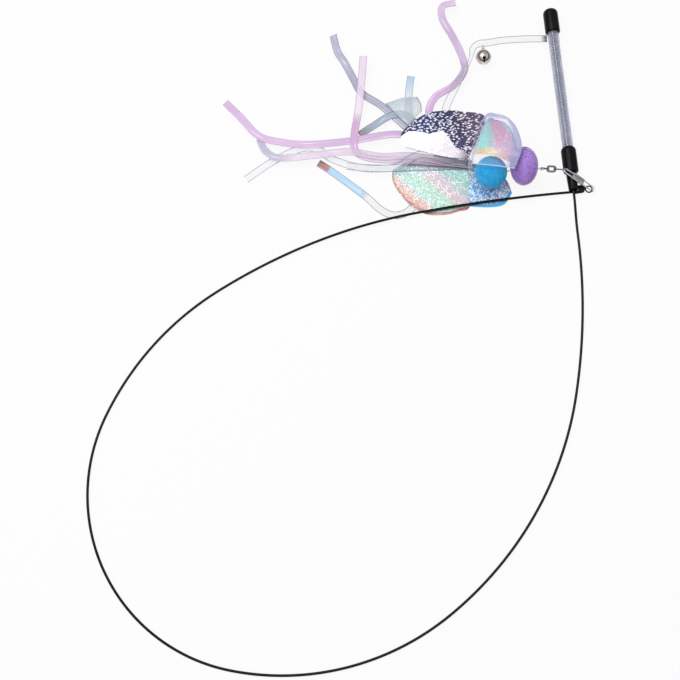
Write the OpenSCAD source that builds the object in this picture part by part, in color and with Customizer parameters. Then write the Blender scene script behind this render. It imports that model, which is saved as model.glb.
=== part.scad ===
// Cat teaser wand lying on a floor: a grip of clear tube with black caps, a long coated spring
// wire that comes round in one open loop, and a film and pompom lure on a snap swivel.

/* [Grip] */
// Outside diameter of the clear grip tube
tube_d = 7.6; // [6.5:0.1:8.5]
// Bore of the clear grip tube
tube_bore_d = 4.2; // [3.8:0.1:5]
// Diameter of the steel strand inside the grip
core_d = 3.2; // [2.6:0.1:3.6]
// Length of clear tube that shows between the caps
grip_l = 85; // [70:1:100]
// Outside diameter of both black caps
cap_d = 10.2; // [9.8:0.1:11]
// Length of the cap on the butt end
butt_cap_l = 18; // [16:0.5:22]
// Length of the cap on the wire end
neck_cap_l = 19; // [17:0.5:23]
// How far the tube goes into each cap
tube_seat = 12; // [9:0.5:13]
// Length of the tapered ferrule
ferrule_l = 11; // [9:0.5:13]
// Ferrule diameter at the cap
ferrule_top_d = 7.4; // [6.8:0.1:7.8]
// Ferrule diameter where the wire leaves it
ferrule_end_d = 5.8; // [5:0.1:5.8]

/* [Wire] */
// Diameter of the coated spring wire
rod_d = 1.76; // [1.4:0.02:1.9]
// Width of the open loop that the wire lies in
loop_w = 320; // [260:5:360]
// Bend radius where the wire comes down to the floor
drop_r = 60; // [50:1:80]
// Height that the wire gains again towards its tip
tip_rise = 1.8; // [1.7:0.05:2]

/* [Tip] */
// Length of the black sleeve on the tip
sleeve_l = 4.6; // [4:0.1:5]
// Width of the black sleeve
sleeve_w = 5.7; // [5.4:0.1:6]
// Thickness of the black sleeve
sleeve_t = 2.4; // [2.2:0.05:2.5]
// Radius of the tip eye, at the middle of its wire
eye_r = 2.2; // [2.15:0.05:2.4]
// Wire diameter of the tip eye
eye_wire_d = 1; // [0.8:0.05:1]

/* [Snap and swivel] */
// Wire diameter of the safety snap
snap_wire_d = 0.8; // [0.6:0.05:0.8]
// Distance between the centres of the snap's two bends
snap_span = 25.8; // [24:0.2:28]
// Radius of the bend that goes through the tip eye
hook_r = 1.65; // [1.65:0.05:1.8]
// Radius of the bend that holds the swivel
small_bend_r = 1.2; // [1.2:0.05:1.3]
// Length of the pressed latch plate
plate_l = 10; // [7:0.5:11]
// Sheet thickness of the latch plate
plate_t = 0.2; // [0.15:0.01:0.25]
// Ring radius of the swivel's two eyes, at the middle of the wire
ring_r = 1.3; // [1.25:0.05:1.5]
// Wire diameter of the swivel's eyes
ring_wire_d = 0.7; // [0.5:0.05:0.7]
// Length of the swivel's open frame
frame_l = 6.6; // [6:0.1:8]
// Width of the swivel's open frame
frame_w = 4.5; // [4.2:0.1:5]
// Thickness of the swivel's open frame
frame_t = 1.6; // [1.4:0.1:2]

/* [Lure] */
// Diameter of the blue pompom
blue_d = 22; // [20:0.5:22]
// Diameter of the purple pompom, across the string
purple_d = 26.6; // [24:0.2:26.6]
// Length of the purple pompom, along the string
purple_l = 19; // [17:0.5:19]
// Diameter of the braided string
string_d = 0.9; // [0.6:0.05:1]
// Length of a film petal
petal_l = 50; // [46:1:52]
// Length that the ribbon places are shares of
ribbon_l = 100; // [90:1:105]
// Width of a film ribbon
ribbon_w = 5.2; // [4:0.1:5.4]
// Thickness of the film
film_t = 0.2; // [0.12:0.01:0.2]
// Step from one film to the next where they are tied
stack_step = 0.3; // [0.29:0.01:0.35]

/* [Bell] */
// Outside diameter of the bell
bell_d = 10.6; // [9.6:0.1:10.8]
// Wall of the bell
bell_wall = 0.5; // [0.3:0.05:0.6]
// Diameter of the ball inside
ball_d = 3.4; // [2.6:0.1:3.8]

/* [Hidden] */
$fn = 40;

// Overrun of every cut
over = 1;
// Facets of a rounded edge
round_steps = 8;
// Gap that two turning pieces run with
run_gap = 0.08;
// Gap that loose pieces are laid with
lay_gap = 0.3;

/* Small matrices: a place, and a turn about each axis */
function place(v) = [[1, 0, 0, v[0]], [0, 1, 0, v[1]], [0, 0, 1, v[2]], [0, 0, 0, 1]];
function turn_x(a) = [[1, 0, 0, 0], [0, cos(a), -sin(a), 0], [0, sin(a), cos(a), 0], [0, 0, 0, 1]];
function turn_y(a) = [[cos(a), 0, sin(a), 0], [0, 1, 0, 0], [-sin(a), 0, cos(a), 0], [0, 0, 0, 1]];
function turn_z(a) = [[cos(a), -sin(a), 0, 0], [sin(a), cos(a), 0, 0], [0, 0, 1, 0], [0, 0, 0, 1]];
function spot(m, v = [0, 0, 0]) = [for (i = [0:2]) (m * [v[0], v[1], v[2], 1])[i]];

/* The wire: straight and round stretches that follow each other without a kink. A row holds
   radius, sweep and roll; a row with no radius is straight and holds its length. */
core_r = core_d / 2;
rod_r = rod_d / 2;
cap_r = cap_d / 2;
handle_z = cap_r;
neck_heading = -85.5;
web_l = 3;
drop = handle_z - rod_r;
drop_sweep = acos(1 - drop / (2 * drop_r));
// Radius as a share of the loop's width, and sweep in degrees, from the grip round to the tip
loop_shares = [[1.28, 15.5], [0.73, 41], [0.53, 49], [0.36, 102.5], [0.6, 33]];
// Where the wire climbs over the lower edges of the petals, and its last stretch past them
rise_share = 1.15;
rise_sweep = 11.4;
tip_share = 3.28;
tip_sweep = 6;
rise_r = rise_share * loop_w;
rise_roll = asin(tip_rise / (2 * rise_r * (1 - cos(rise_sweep))));
rod_inset = 0.8;
rod_rows = concat(
  [[0, web_l + ferrule_l, 0], [drop_r, drop_sweep, 90], [drop_r, drop_sweep, -90]],
  [for (s = loop_shares) [s[0] * loop_w, s[1], 0]],
  [[rise_r, rise_sweep, -rise_roll], [rise_r, rise_sweep, rise_roll]],
  [[tip_share * loop_w, tip_sweep, 0], [0, sleeve_l - rod_inset, 0]]
);
function step_m(row) = row[0] == 0
  ? place([row[1], 0, 0])
  : turn_x(row[2]) * place([0, -row[0], 0]) * turn_z(-row[1]) * place([0, row[0], 0]) * turn_x(-row[2]);
function frames(m, rows, i = 0) =
  i >= len(rows) ? [m] : concat([m], frames(m * step_m(rows[i]), rows, i + 1));
// Part of a row, as a share of its length
function part_row(row, share) = row[0] == 0 ? [0, row[1] * share, 0] : [row[0], row[1] * share, row[2]];
function row_l(row) = row[0] == 0 ? row[1] : row[0] * row[1] * PI / 180;
// Frames along a wire, no further apart than one gap, or than one turn on a tight bend
function wire_frames(m, rows, gap) = let (f = frames(m, rows)) concat(
  [for (k = [0:len(rows) - 1]) let (
    n = rows[k][0] == 0 ? 1 : max(ceil(row_l(rows[k]) / gap), ceil(rows[k][1] / wire_turn))
  ) for (j = [0:n - 1]) f[k] * step_m(part_row(rows[k], j / n))],
  [f[len(rows)]]
);

// The neck is where the wire leaves the ferrule
neck_m = place([0, 0, handle_z]) * turn_z(neck_heading);
rod_start_m = neck_m * place([-(web_l + ferrule_l), 0, 0]);
ring_gap = 7;
wire_turn = 15;
wire_sides = 12;
rod_frames = wire_frames(rod_start_m, rod_rows, ring_gap);
tip_m = frames(rod_start_m, rod_rows)[len(rod_rows) - 1];

/* The tip eye stands just past the sleeve, half above the line of the wire */
eye_side = 1.1;
shank_side = 2.35;
eye_m = tip_m * place([sleeve_l + eye_r + eye_wire_d / 2, eye_side, 0]);
eye_at = spot(eye_m);

/* The snap climbs from the eye; its own frame starts at the middle of the eye, along the arm
   that passes through it */
snap_r = snap_wire_d / 2;
snap_heading = 158.5;
snap_pitch = 32;
snap_m = place(eye_at) * turn_z(snap_heading) * turn_y(-snap_pitch);
hook_x = -2.7;
small_x = hook_x + snap_span;
snap_mid = -hook_r;
arm_slant = asin((hook_r - small_bend_r) / snap_span);
arm_l = snap_span * cos(arm_slant);
apex_at = spot(snap_m, [small_x + small_bend_r, snap_mid, 0]);
gate_gap = 0.12;
// Where the latch plate starts, from the middle of the eye
plate_x = 6;
plate_gap = 0.05;

/* The swivel: two headed eyes that turn in the ends of an open frame */
swivel_heading = 177;
ring_seat = 1;
ring_wire_r = ring_wire_d / 2;
front_shank_l = 3.5;
rear_shank_l = 0.6;
shank_d = 0.9;
head_d = 1.7;
head_t = 0.5;
frame_wall = 1.2;
frame_rail = 0.9;
front_m = place(apex_at) * turn_z(swivel_heading) * place([ring_r - ring_seat, 0, 0]);
frame_x = ring_r + ring_wire_r + front_shank_l;
rear_x = frame_x + frame_l + rear_shank_l + ring_wire_r + ring_r;
rear_m = front_m * place([rear_x, 0, 0]);
rear_at = spot(rear_m);

/* The pompoms and the string; the lure's pieces are placed from the rear eye */
string_r = string_d / 2;
string_loop_r = 0.9;
string_wire_r = 0.3;
string_loop_gap = 0.1;
string_loop_x = ring_r - ring_wire_r - string_wire_r - string_loop_gap + string_loop_r;
purple_side = 2.6;
pompom_bore_gap = 0.3;
purple_gap = 0.2;
purple_at = [
  rear_at[0] - string_loop_x - string_loop_r - string_wire_r - purple_gap - purple_l / 2,
  rear_at[1] + purple_side,
  purple_d / 2
];
pompom_gap = 1.9;
blue_side = -2.2;
blue_lift = 3.6;
blue_at = [
  purple_at[0] - purple_l / 2 - pompom_gap - blue_d / 2,
  rear_at[1] + blue_side,
  blue_lift + blue_d / 2
];
string_way = blue_at - rear_at;
string_heading = atan2(string_way[1], string_way[0]);
string_pitch = atan2(string_way[2], norm([string_way[0], string_way[1]]));
string_m = place(rear_at) * turn_z(string_heading) * turn_y(-string_pitch);
string_end = norm(string_way) + blue_d / 2 + lay_gap;
knot_r = 1.2;

/* The tie: a band round the stacked ends of the film */
tie_side = [-13, 9];
tie_xy = [blue_at[0] + tie_side[0], blue_at[1] + tie_side[1]];
stack_z = 2.2;
band_l = 3;
band_wall = 0.6;
band_w = 7.6;
band_lift = 1.4;
// Levels of the stack, counted from the lowest film
stack_n = 15;
band_h = stack_z + stack_n * stack_step + stack_step - band_lift;
tie_knot_at = [tie_xy[0], tie_xy[1] - band_w / 2 - band_wall - knot_r, band_lift + band_h - knot_r];
function level(i) = stack_z + i * stack_step;

/* The bell, which lies on its side below a hole in the clear ribbon */
bell_r = bell_d / 2;
bell_eye_r = 1.1;
bell_eye_wire_r = 0.3;
bell_ring_r = 1.3;
bell_ring_wire_r = 0.25;
bell_link_gap = 0.1;
hole_r = 0.6;
// Middle of the ribbon at the hole, as shares of the ribbon length from the tie
hole_shares = [0.115, 0.8985];
// Distance of the hole from the middle of the ribbon
hole_side = 1.4;
bell_z = bell_r;
hole_at = [tie_xy[0] + hole_shares[0] * ribbon_l, tie_xy[1] + hole_shares[1] * ribbon_l - hole_side, bell_z];
// The bell's ribbon ends just beside the grip
grip_gap = 0.8;
end_share = 0.94;
end_side = (tie_xy[1] + end_share * ribbon_l) / tan(neck_heading) - cap_r - grip_gap;
end_reach_share = (end_side - tie_xy[0]) / ribbon_l;
bell_ring_at = hole_at - [0, bell_ring_r, 0];
bell_wire_at = bell_ring_at - [0, bell_ring_r - bell_ring_wire_r - bell_eye_wire_r - bell_link_gap, 0];
bell_eye_at = bell_wire_at - [0, bell_eye_r, 0];
bell_at = bell_eye_at - [0, bell_eye_r + bell_r - bell_wall, 0];
ball_rest_gap = 0.1;

/* Film tables. A petal is rows of [x share, y share, height]; a ribbon is rows of [x share, y share,
   height above its level, bank in degrees], from its free end to the tie. */
aqua_rows = [
  [[0.03, 0.04, 0], [0.03, 0, 0], [0.03, -0.035, 0]],
  [[-0.07, 0.04, 0], [-0.065, 0, 0], [-0.06, -0.035, 0]],
  [[-0.2, 0.03, 0], [-0.12, -0.3, -0.02], [0.01, -0.52, -0.036]],
  [[-0.36, 0.03, 0], [-0.32, -0.3, -0.024], [-0.14, -0.6, -0.036]],
  [[-0.52, 0.04, 0], [-0.5, -0.3, -0.024], [-0.32, -0.65, -0.036]],
  [[-0.7, 0.06, 0], [-0.66, -0.28, -0.022], [-0.56, -0.64, -0.036]],
  [[-0.87, 0.02, 0], [-0.84, -0.22, -0.016], [-0.78, -0.5, -0.032]],
  [[-0.99, -0.05, 0], [-0.99, -0.15, -0.01], [-0.95, -0.27, -0.02]]
];
copper_shift_share = [0.02, -0.035, -0.005];
blue_rows = [
  [[-0.02, -0.05, 0], [-0.02, -0.02, 0], [-0.02, 0.01, 0], [-0.02, 0.04, 0]],
  [[0.05, -0.05, 0], [0.055, -0.02, 0], [0.06, 0.01, 0], [0.065, 0.04, 0]],
  [[0.06, -0.26, -0.016], [0.14, -0.24, -0.016], [0.24, -0.18, -0.012], [0.32, -0.05, -0.006]],
  [[0.04, -0.42, -0.03], [0.18, -0.42, -0.03], [0.36, -0.34, -0.026], [0.5, -0.2, -0.02]],
  [[0.04, -0.57, -0.043], [0.25, -0.58, -0.044], [0.48, -0.52, -0.043], [0.58, -0.36, -0.034]]
];
navy_rows = [
  [[-0.055, 0.06, 0], [-0.055, 0.01, 0], [-0.055, -0.04, 0]],
  [[0.14, 0.68, 0.01], [-0.06, 0.26, 0.04], [-0.16, 0.06, 0.02]],
  [[-0.1, 0.76, 0.01], [-0.2, 0.36, 0.06], [-0.28, 0.08, 0.02]],
  [[-0.34, 0.77, 0.01], [-0.38, 0.4, 0.07], [-0.44, 0.11, 0.02]],
  [[-0.6, 0.72, 0.01], [-0.62, 0.42, 0.07], [-0.62, 0.16, 0.02]],
  [[-0.86, 0.52, 0.01], [-0.84, 0.42, 0.04], [-0.84, 0.22, 0.02]],
  [[-0.95, 0.38, 0.01], [-0.955, 0.33, 0.02], [-0.95, 0.27, 0.02]]
];
teal_rows = [
  [[-0.01, 0.07, 0], [0.01, 0.05, 0], [0.03, 0.02, 0], [0.04, -0.01, 0]],
  [[0.22, 0.56, 0.12], [0.15, 0.38, 0.15], [0.08, 0.2, 0.19], [0.03, 0.06, 0.22]],
  [[0.34, 0.54, 0.2], [0.32, 0.36, 0.28], [0.29, 0.19, 0.33], [0.25, 0.03, 0.36]],
  [[0.45, 0.48, 0.26], [0.53, 0.32, 0.33], [0.58, 0.08, 0.38], [0.58, -0.12, 0.39]]
];
lavender_rows = [
  [[-0.03, 0.05, 0.02], [-0.025, 0.01, 0.02], [-0.025, -0.03, 0.02], [-0.025, -0.07, 0.02]],
  [[0.18, 0.59, 0.18], [0.08, 0.34, 0.27], [0, 0.1, 0.36], [-0.02, -0.16, 0.37]],
  [[0.36, 0.61, 0.24], [0.36, 0.38, 0.33], [0.3, 0.1, 0.4], [0.26, -0.2, 0.41]],
  [[0.49, 0.54, 0.28], [0.59, 0.36, 0.35], [0.64, 0.06, 0.4], [0.53, -0.24, 0.41]]
];
panel_rows = [
  [[-0.57, 0.45, 0], [-0.46, 0.49, 0.004], [-0.35, 0.5, 0]],
  [[-0.5, 0.37, 0], [-0.42, 0.42, 0.004], [-0.325, 0.45, 0]],
  [[-0.42, 0.29, 0], [-0.37, 0.34, 0.004], [-0.32, 0.39, 0]]
];
two_tone_rows = [
  [-1.03, 0.03, -0.012, 0], [-0.94, -0.03, -0.013, 0], [-0.72, -0.2, -0.015, 0], [-0.6, -0.31, -0.0155, 0],
  [-0.5, -0.345, -0.0155, 0], [-0.4, -0.3, -0.0155, 0], [-0.25, -0.14, -0.0135, 0], [-0.1, -0.02, -0.004, 0],
  [0.015, 0, 0, 0]
];
curl_rows = [
  [-1.52, -0.1, 0, 0], [-1.34, 0.03, 0, 0], [-1.16, 0.12, 0, 0], [-1.04, 0.12, 0, 0], [-0.92, 0.04, 0, 0],
  [-0.7, -0.02, 0, 0], [-0.4, -0.01, 0, 0], [-0.1, 0, 0, 0], [0.015, 0, 0, 0]
];
grey_rows = [
  [-0.93, 0.96, 0.02, 20], [-0.9, 0.84, 0.01, 20], [-0.85, 0.76, 0, 10], [-0.79, 0.64, 0, 0],
  [-0.73, 0.53, 0, 0], [-0.6, 0.44, 0, 0], [-0.46, 0.31, 0, 0], [-0.3, 0.15, 0, 0], [-0.1, 0.02, 0, 0],
  [0.015, 0, 0, 0]
];
smoke_rows = [
  [-0.75, 0.22, 0, 0], [-0.65, 0.29, 0, 0], [-0.54, 0.36, 0, 0], [-0.44, 0.37, 0, 0], [-0.35, 0.29, 0, 0],
  [-0.22, 0.12, 0, 0], [-0.1, 0.02, 0, 0], [0.015, 0, 0, 0]
];
short_rows = [
  [-0.39, 0.65, 0.012, 0], [-0.405, 0.55, 0, 0], [-0.41, 0.44, 0, 0], [-0.39, 0.31, 0, 0],
  [-0.27, 0.13, 0, 0], [-0.1, 0.02, 0, 0], [0.015, 0, 0, 0]
];
pink_top_rows = [
  [-0.07, 1.2, 0.02, 10], [-0.16, 1.18, 0.01, 10], [-0.165, 1.09, 0, 20], [-0.1, 0.96, 0, 30],
  [-0.04, 0.82, 0, 20], [-0.02, 0.7, 0, 0], [-0.1, 0.58, 0, 0], [-0.23, 0.49, 0, 0], [-0.27, 0.35, 0, 0],
  [-0.19, 0.14, 0, 0], [-0.1, 0.02, 0, 0], [0.015, 0, 0, 0]
];
bell_rows = [
  [end_reach_share, end_share, -0.01, 0], [0.4, 0.935, -0.005, 0], [0.25, 0.92, 0.003, 0], [0.14, 0.901, 0.003, 0],
  [0.09, 0.896, 0.003, 0], [0.045, 0.86, 0.01, 30], [0.025, 0.78, 0.03, 60], [-0.02, 0.68, 0.035, 50],
  [-0.1, 0.53, 0.02, 20], [-0.16, 0.38, 0, 0], [-0.15, 0.14, 0, 0], [-0.1, 0.02, 0, 0], [0.015, 0, 0, 0]
];
pink_long_rows = [
  [-1.67, 0.45, 0.01, 0], [-1.56, 0.34, 0, 0], [-1.44, 0.21, 0, 0], [-1.3, 0.165, 0, 0], [-1.1, 0.145, 0, 0],
  [-0.82, 0.17, 0, 0], [-0.48, 0.22, 0, 0], [-0.25, 0.13, 0, 0], [-0.1, 0.02, 0, 0], [0.015, 0, 0, 0]
];
pink_upright_rows = [
  [-0.72, 0.79, 0.02, 0], [-0.735, 0.6, 0.01, 0], [-0.755, 0.4, 0, 0], [-0.785, 0.2, 0, 0],
  [-0.77, 0.09, 0, 0], [-0.65, 0.04, 0, 0], [-0.4, 0.03, 0, 0], [-0.1, 0.01, 0, 0], [0.015, 0, 0, 0]
];
pink_low_rows = [
  [-1.43, 0.19, -0.012, 0], [-1.39, 0.1, -0.006, 0], [-1.29, 0.045, 0, 0], [-1.05, 0.065, 0, 0],
  [-0.82, 0.09, 0, 0], [-0.6, 0.055, 0, 0], [-0.4, 0.06, 0, 0], [-0.1, 0.01, 0, 0], [0.015, 0, 0, 0]
];
clear_rows = [
  [-0.84, -0.015, 0, 0], [-0.66, -0.03, 0, 0], [-0.5, -0.02, 0, 0], [-0.33, 0.07, 0, 0], [-0.1, 0.02, 0, 0],
  [0.015, 0, 0, 0]
];
film_steps = 3;

/* Films: a grid of points given a thickness along its own normal */
function curve(a, b, c, d, t) =
  0.5 * (2 * b + (c - a) * t + (2 * a - 5 * b + 4 * c - d) * t * t + (3 * b - a - 3 * c + d) * t * t * t);
function smooth(p, k) = concat(
  [for (i = [0:len(p) - 2]) for (j = [0:k - 1])
    curve(p[max(i - 1, 0)], p[i], p[i + 1], p[min(i + 2, len(p) - 1)], j / k)],
  [p[len(p) - 1]]
);
function unit(v) = v / norm(v);
function grid_normal(g, i, j) = unit(cross(
  g[i][min(j + 1, len(g[i]) - 1)] - g[i][max(j - 1, 0)],
  g[min(i + 1, len(g) - 1)][j] - g[max(i - 1, 0)][j]
));
function grid_side(g, s) = [for (i = [0:len(g) - 1]) for (j = [0:len(g[i]) - 1])
  g[i][j] + grid_normal(g, i, j) * s];
function two(a, b, c, d) = [[a, b, c], [a, c, d]];
function grid_faces(n, m) = let (u = n * m) [
  for (i = [0:n - 2]) for (j = [0:m - 2]) each two(i * m + j, (i + 1) * m + j, (i + 1) * m + j + 1, i * m + j + 1),
  for (i = [0:n - 2]) for (j = [0:m - 2])
    each two(u + i * m + j, u + i * m + j + 1, u + (i + 1) * m + j + 1, u + (i + 1) * m + j),
  for (i = [0:n - 2]) each two(u + (i + 1) * m, (i + 1) * m, i * m, u + i * m),
  for (i = [0:n - 2])
    each two(u + i * m + m - 1, i * m + m - 1, (i + 1) * m + m - 1, u + (i + 1) * m + m - 1),
  for (j = [0:m - 2]) each two(u + j, j, j + 1, u + j + 1),
  for (j = [0:m - 2])
    each two(u + (n - 1) * m + j + 1, (n - 1) * m + j + 1, (n - 1) * m + j, u + (n - 1) * m + j)
];
module film(g) {
  polyhedron(
    points = concat(grid_side(g, film_t / 2), grid_side(g, -film_t / 2)),
    faces = grid_faces(len(g), len(g[0])),
    convexity = 6
  );
}
function petal_grid(rows, z, shift_share = [0, 0, 0]) = [for (r = smooth(rows, film_steps)) [for (p = r) [
  tie_xy[0] + (p[0] + shift_share[0]) * petal_l,
  tie_xy[1] + (p[1] + shift_share[1]) * petal_l,
  z + (p[2] + shift_share[2]) * petal_l
]]];
function ribbon_line(rows, z) = [for (p = smooth(rows, film_steps))
  [tie_xy[0] + p[0] * ribbon_l, tie_xy[1] + p[1] * ribbon_l, z + p[2] * ribbon_l, p[3]]];
function ribbon_grid(line) = [for (i = [0:len(line) - 1]) let (
  a = line[max(i - 1, 0)], b = line[min(i + 1, len(line) - 1)],
  flat = unit([a[1] - b[1], b[0] - a[0], 0]),
  side = flat * cos(line[i][3]) + [0, 0, sin(line[i][3])],
  mid = [line[i][0], line[i][1], line[i][2]]
) [mid + side * ribbon_w / 2, mid - side * ribbon_w / 2]];
module petal(rows, z, shift_share = [0, 0, 0]) { film(petal_grid(rows, z, shift_share)); }
module ribbon(rows, z) { film(ribbon_grid(ribbon_line(rows, z))); }

/* The whole object is set with its middle over the origin */
wire_marks = [for (f = rod_frames) spot(f)];
pink_top_grid = ribbon_grid(ribbon_line(pink_top_rows, level(9)));
eye_out = eye_r + eye_wire_d / 2;
hook_at = spot(snap_m, [hook_x, snap_mid, 0]);
butt_at = spot(neck_m, [-(ferrule_l + neck_cap_l + grip_l + butt_cap_l), 0, 0]);
low_x = min([for (p = wire_marks) p[0]]) - rod_r;
high_x = max([
  max([for (p = wire_marks) p[0]]) + rod_r,
  eye_at[0] + eye_out,
  hook_at[0] + hook_r + snap_r
]);
low_y = min([for (p = wire_marks) p[1]]) - rod_r;
high_y = max([max([for (r = pink_top_grid) for (p = r) p[1]]), butt_at[1]]);
home = [-(low_x + high_x) / 2, -(low_y + high_y) / 2, 0];

/* Grip. Its pieces stand along Z from the ferrule's end and are then laid down. */
module along_grip() { translate(home) multmatrix(neck_m) rotate([0, -90, 0]) children(); }
tube_l = grip_l + 2 * tube_seat;
cap_round = 3.6;
cap_lip = 1;
neck_cap_z = ferrule_l;
tube_z = neck_cap_z + neck_cap_l - tube_seat;
butt_cap_z = neck_cap_z + neck_cap_l + grip_l;
core_z = neck_cap_z + web_l;
core_end_z = tube_z + tube_l;

// Half outline of a cap with a rounded end
function cap_outline(r, l, low_round, high_round) = concat(
  [[0, 0]],
  [for (a = [-90:90 / round_steps:0]) [r - low_round + low_round * cos(a), low_round + low_round * sin(a)]],
  [for (a = [0:90 / round_steps:90]) [r - high_round + high_round * cos(a), l - high_round + high_round * sin(a)]],
  [[0, l]]
);
module handle_tube() {
  color([0.8, 0.82, 0.88, 0.5]) along_grip() translate([0, 0, tube_z]) difference() {
    cylinder(d = tube_d, h = tube_l);
    translate([0, 0, -over]) cylinder(d = tube_bore_d, h = tube_l + 2 * over);
  }
}
module handle_core() {
  color("silver") along_grip() translate([0, 0, core_z]) cylinder(d = core_d, h = core_end_z - core_z);
}
module butt_cap() {
  color([0.07, 0.07, 0.09]) along_grip() translate([0, 0, butt_cap_z]) difference() {
    rotate_extrude() polygon(cap_outline(cap_r, butt_cap_l, cap_lip, cap_round));
    translate([0, 0, -over]) cylinder(d = tube_d, h = tube_seat + over);
  }
}
module neck_cap() {
  color([0.07, 0.07, 0.09]) along_grip() translate([0, 0, neck_cap_z]) difference() {
    rotate_extrude() polygon(cap_outline(cap_r, neck_cap_l, cap_lip, cap_round));
    translate([0, 0, neck_cap_l - tube_seat]) cylinder(d = tube_d, h = tube_seat + over);
    translate([0, 0, web_l]) cylinder(d = core_d, h = neck_cap_l);
    translate([0, 0, -over]) cylinder(d = rod_d, h = web_l + 2 * over);
  }
}
module neck_ferrule() {
  color([0.1, 0.1, 0.12]) along_grip() difference() {
    cylinder(d1 = ferrule_end_d, d2 = ferrule_top_d, h = ferrule_l);
    translate([0, 0, -over]) cylinder(d = rod_d, h = ferrule_l + 2 * over);
  }
}

/* Wire: one ring of points on each frame, joined into a closed tube */
module wire(along, r) {
  n = len(along);
  m = wire_sides;
  points = [for (f = along) for (k = [0:m - 1]) spot(f, [0, r * cos(360 * k / m), r * sin(360 * k / m)])];
  faces = [
    for (i = [0:n - 2]) for (k = [0:m - 1]) let (l = (k + 1) % m)
      each two(i * m + k, i * m + l, (i + 1) * m + l, (i + 1) * m + k),
    [for (k = [0:m - 1]) m - 1 - k],
    [for (k = [0:m - 1]) (n - 1) * m + k]
  ];
  polyhedron(points = points, faces = faces, convexity = 6);
}
module rod() { color([0.08, 0.08, 0.09]) translate(home) wire(rod_frames, rod_r); }

/* Tip */
shank_in = 1.5;
sleeve_wall = 0.3;
module tip_sleeve() {
  low = -(rod_r + sleeve_wall);
  straight_w = sleeve_w - sleeve_t;
  color([0.06, 0.06, 0.08]) translate(home) multmatrix(tip_m) difference() {
    translate([0, low + sleeve_t / 2, 0]) rotate([90, 0, 90]) linear_extrude(sleeve_l) {
      circle(d = sleeve_t);
      translate([0, -sleeve_t / 2]) square([straight_w, sleeve_t]);
      translate([straight_w, 0]) circle(d = sleeve_t);
    }
    translate([-over, 0, 0]) rotate([0, 90, 0]) cylinder(r = rod_r, h = sleeve_l - rod_inset + over);
    translate([shank_in, shank_side, 0]) rotate([0, 90, 0]) cylinder(d = eye_wire_d, h = sleeve_l);
  }
}
module tip_eye() {
  shank_end = sleeve_l + eye_out - sqrt(eye_r * eye_r - pow(shank_side - eye_side, 2));
  color([0.1, 0.1, 0.11]) translate(home) {
    multmatrix(eye_m) ring(eye_r, eye_wire_d / 2);
    multmatrix(tip_m) translate([shank_in, shank_side, 0]) rotate([0, 90, 0])
      cylinder(d = eye_wire_d, h = shank_end - shank_in);
  }
}
module ring(r, wire_r) { rotate_extrude() translate([r, 0]) circle(wire_r); }

/* Snap */
module on_snap() { translate(home) multmatrix(snap_m) children(); }
module arm(side, from, to) {
  translate([hook_x, snap_mid, 0]) rotate([0, 0, -side * arm_slant])
    translate([from, side * hook_r, 0]) rotate([0, 90, 0]) cylinder(r = snap_r, h = to - from);
}
module snap_wire() {
  start = place([hook_x, snap_mid, 0]) * turn_z(180 + arm_slant) * place([0, hook_r, 0]);
  rows = [[hook_r, 180 + 2 * arm_slant, 0], [0, arm_l, 0], [small_bend_r, 180 - 2 * arm_slant, 0]];
  color("silver") on_snap() wire(wire_frames(start, rows, ring_gap), snap_r);
}
module snap_plate() {
  wide = 2 * (hook_r + snap_r + plate_gap + plate_t);
  high = 2 * (snap_r + plate_gap + plate_t);
  color([0.8, 0.8, 0.82]) on_snap() translate([plate_x, snap_mid, 0]) difference() {
    translate([0, -wide / 2, -high / 2]) cube([plate_l, wide, high]);
    translate([-over, -wide / 2 - over, plate_t - high / 2])
      cube([plate_l + 2 * over, wide + over - plate_t, high - 2 * plate_t]);
  }
}
module snap_gate() {
  end_l = arm_l - gate_gap - snap_r;
  color([0.75, 0.75, 0.78]) on_snap() {
    arm(-1, gate_gap, end_l);
    translate([hook_x, snap_mid, 0]) rotate([0, 0, arm_slant]) translate([end_l, -hook_r, 0]) sphere(snap_r);
  }
}

/* Swivel */
module swivel_eye(shank_l) {
  rotate([90, 0, 0]) ring(ring_r, ring_wire_r);
  translate([ring_r, 0, 0]) rotate([0, 90, 0]) cylinder(d = shank_d, h = shank_l + ring_wire_r + frame_wall + run_gap);
  translate([ring_r + ring_wire_r + shank_l + frame_wall + run_gap, 0, 0]) rotate([0, 90, 0])
    cylinder(d = head_d, h = head_t);
}
module swivel_front_eye() {
  color("silver") translate(home) multmatrix(front_m) swivel_eye(front_shank_l);
}
module swivel_rear_eye() {
  color("silver") translate(home) multmatrix(rear_m) rotate([0, 0, 180]) swivel_eye(rear_shank_l);
}
module oval(l, w, r) {
  for (x = [r - l / 2, l / 2 - r]) for (y = [r - w / 2, w / 2 - r]) translate([x, y]) circle(r);
  square([l - 2 * r, w], center = true);
  square([l, w - 2 * r], center = true);
}
module swivel_frame() {
  outer_round = 1.9;
  inner_round = 1;
  color([0.7, 0.7, 0.73]) translate(home) multmatrix(front_m) translate([frame_x + frame_l / 2, 0, 0]) difference() {
    linear_extrude(frame_t, center = true) difference() {
      oval(frame_l, frame_w, outer_round);
      oval(frame_l - 2 * frame_wall, frame_w - 2 * frame_rail, inner_round);
    }
    translate([-frame_l / 2 - over, 0, 0]) rotate([0, 90, 0])
      cylinder(d = shank_d + 2 * run_gap, h = frame_l + 2 * over);
  }
}

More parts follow.
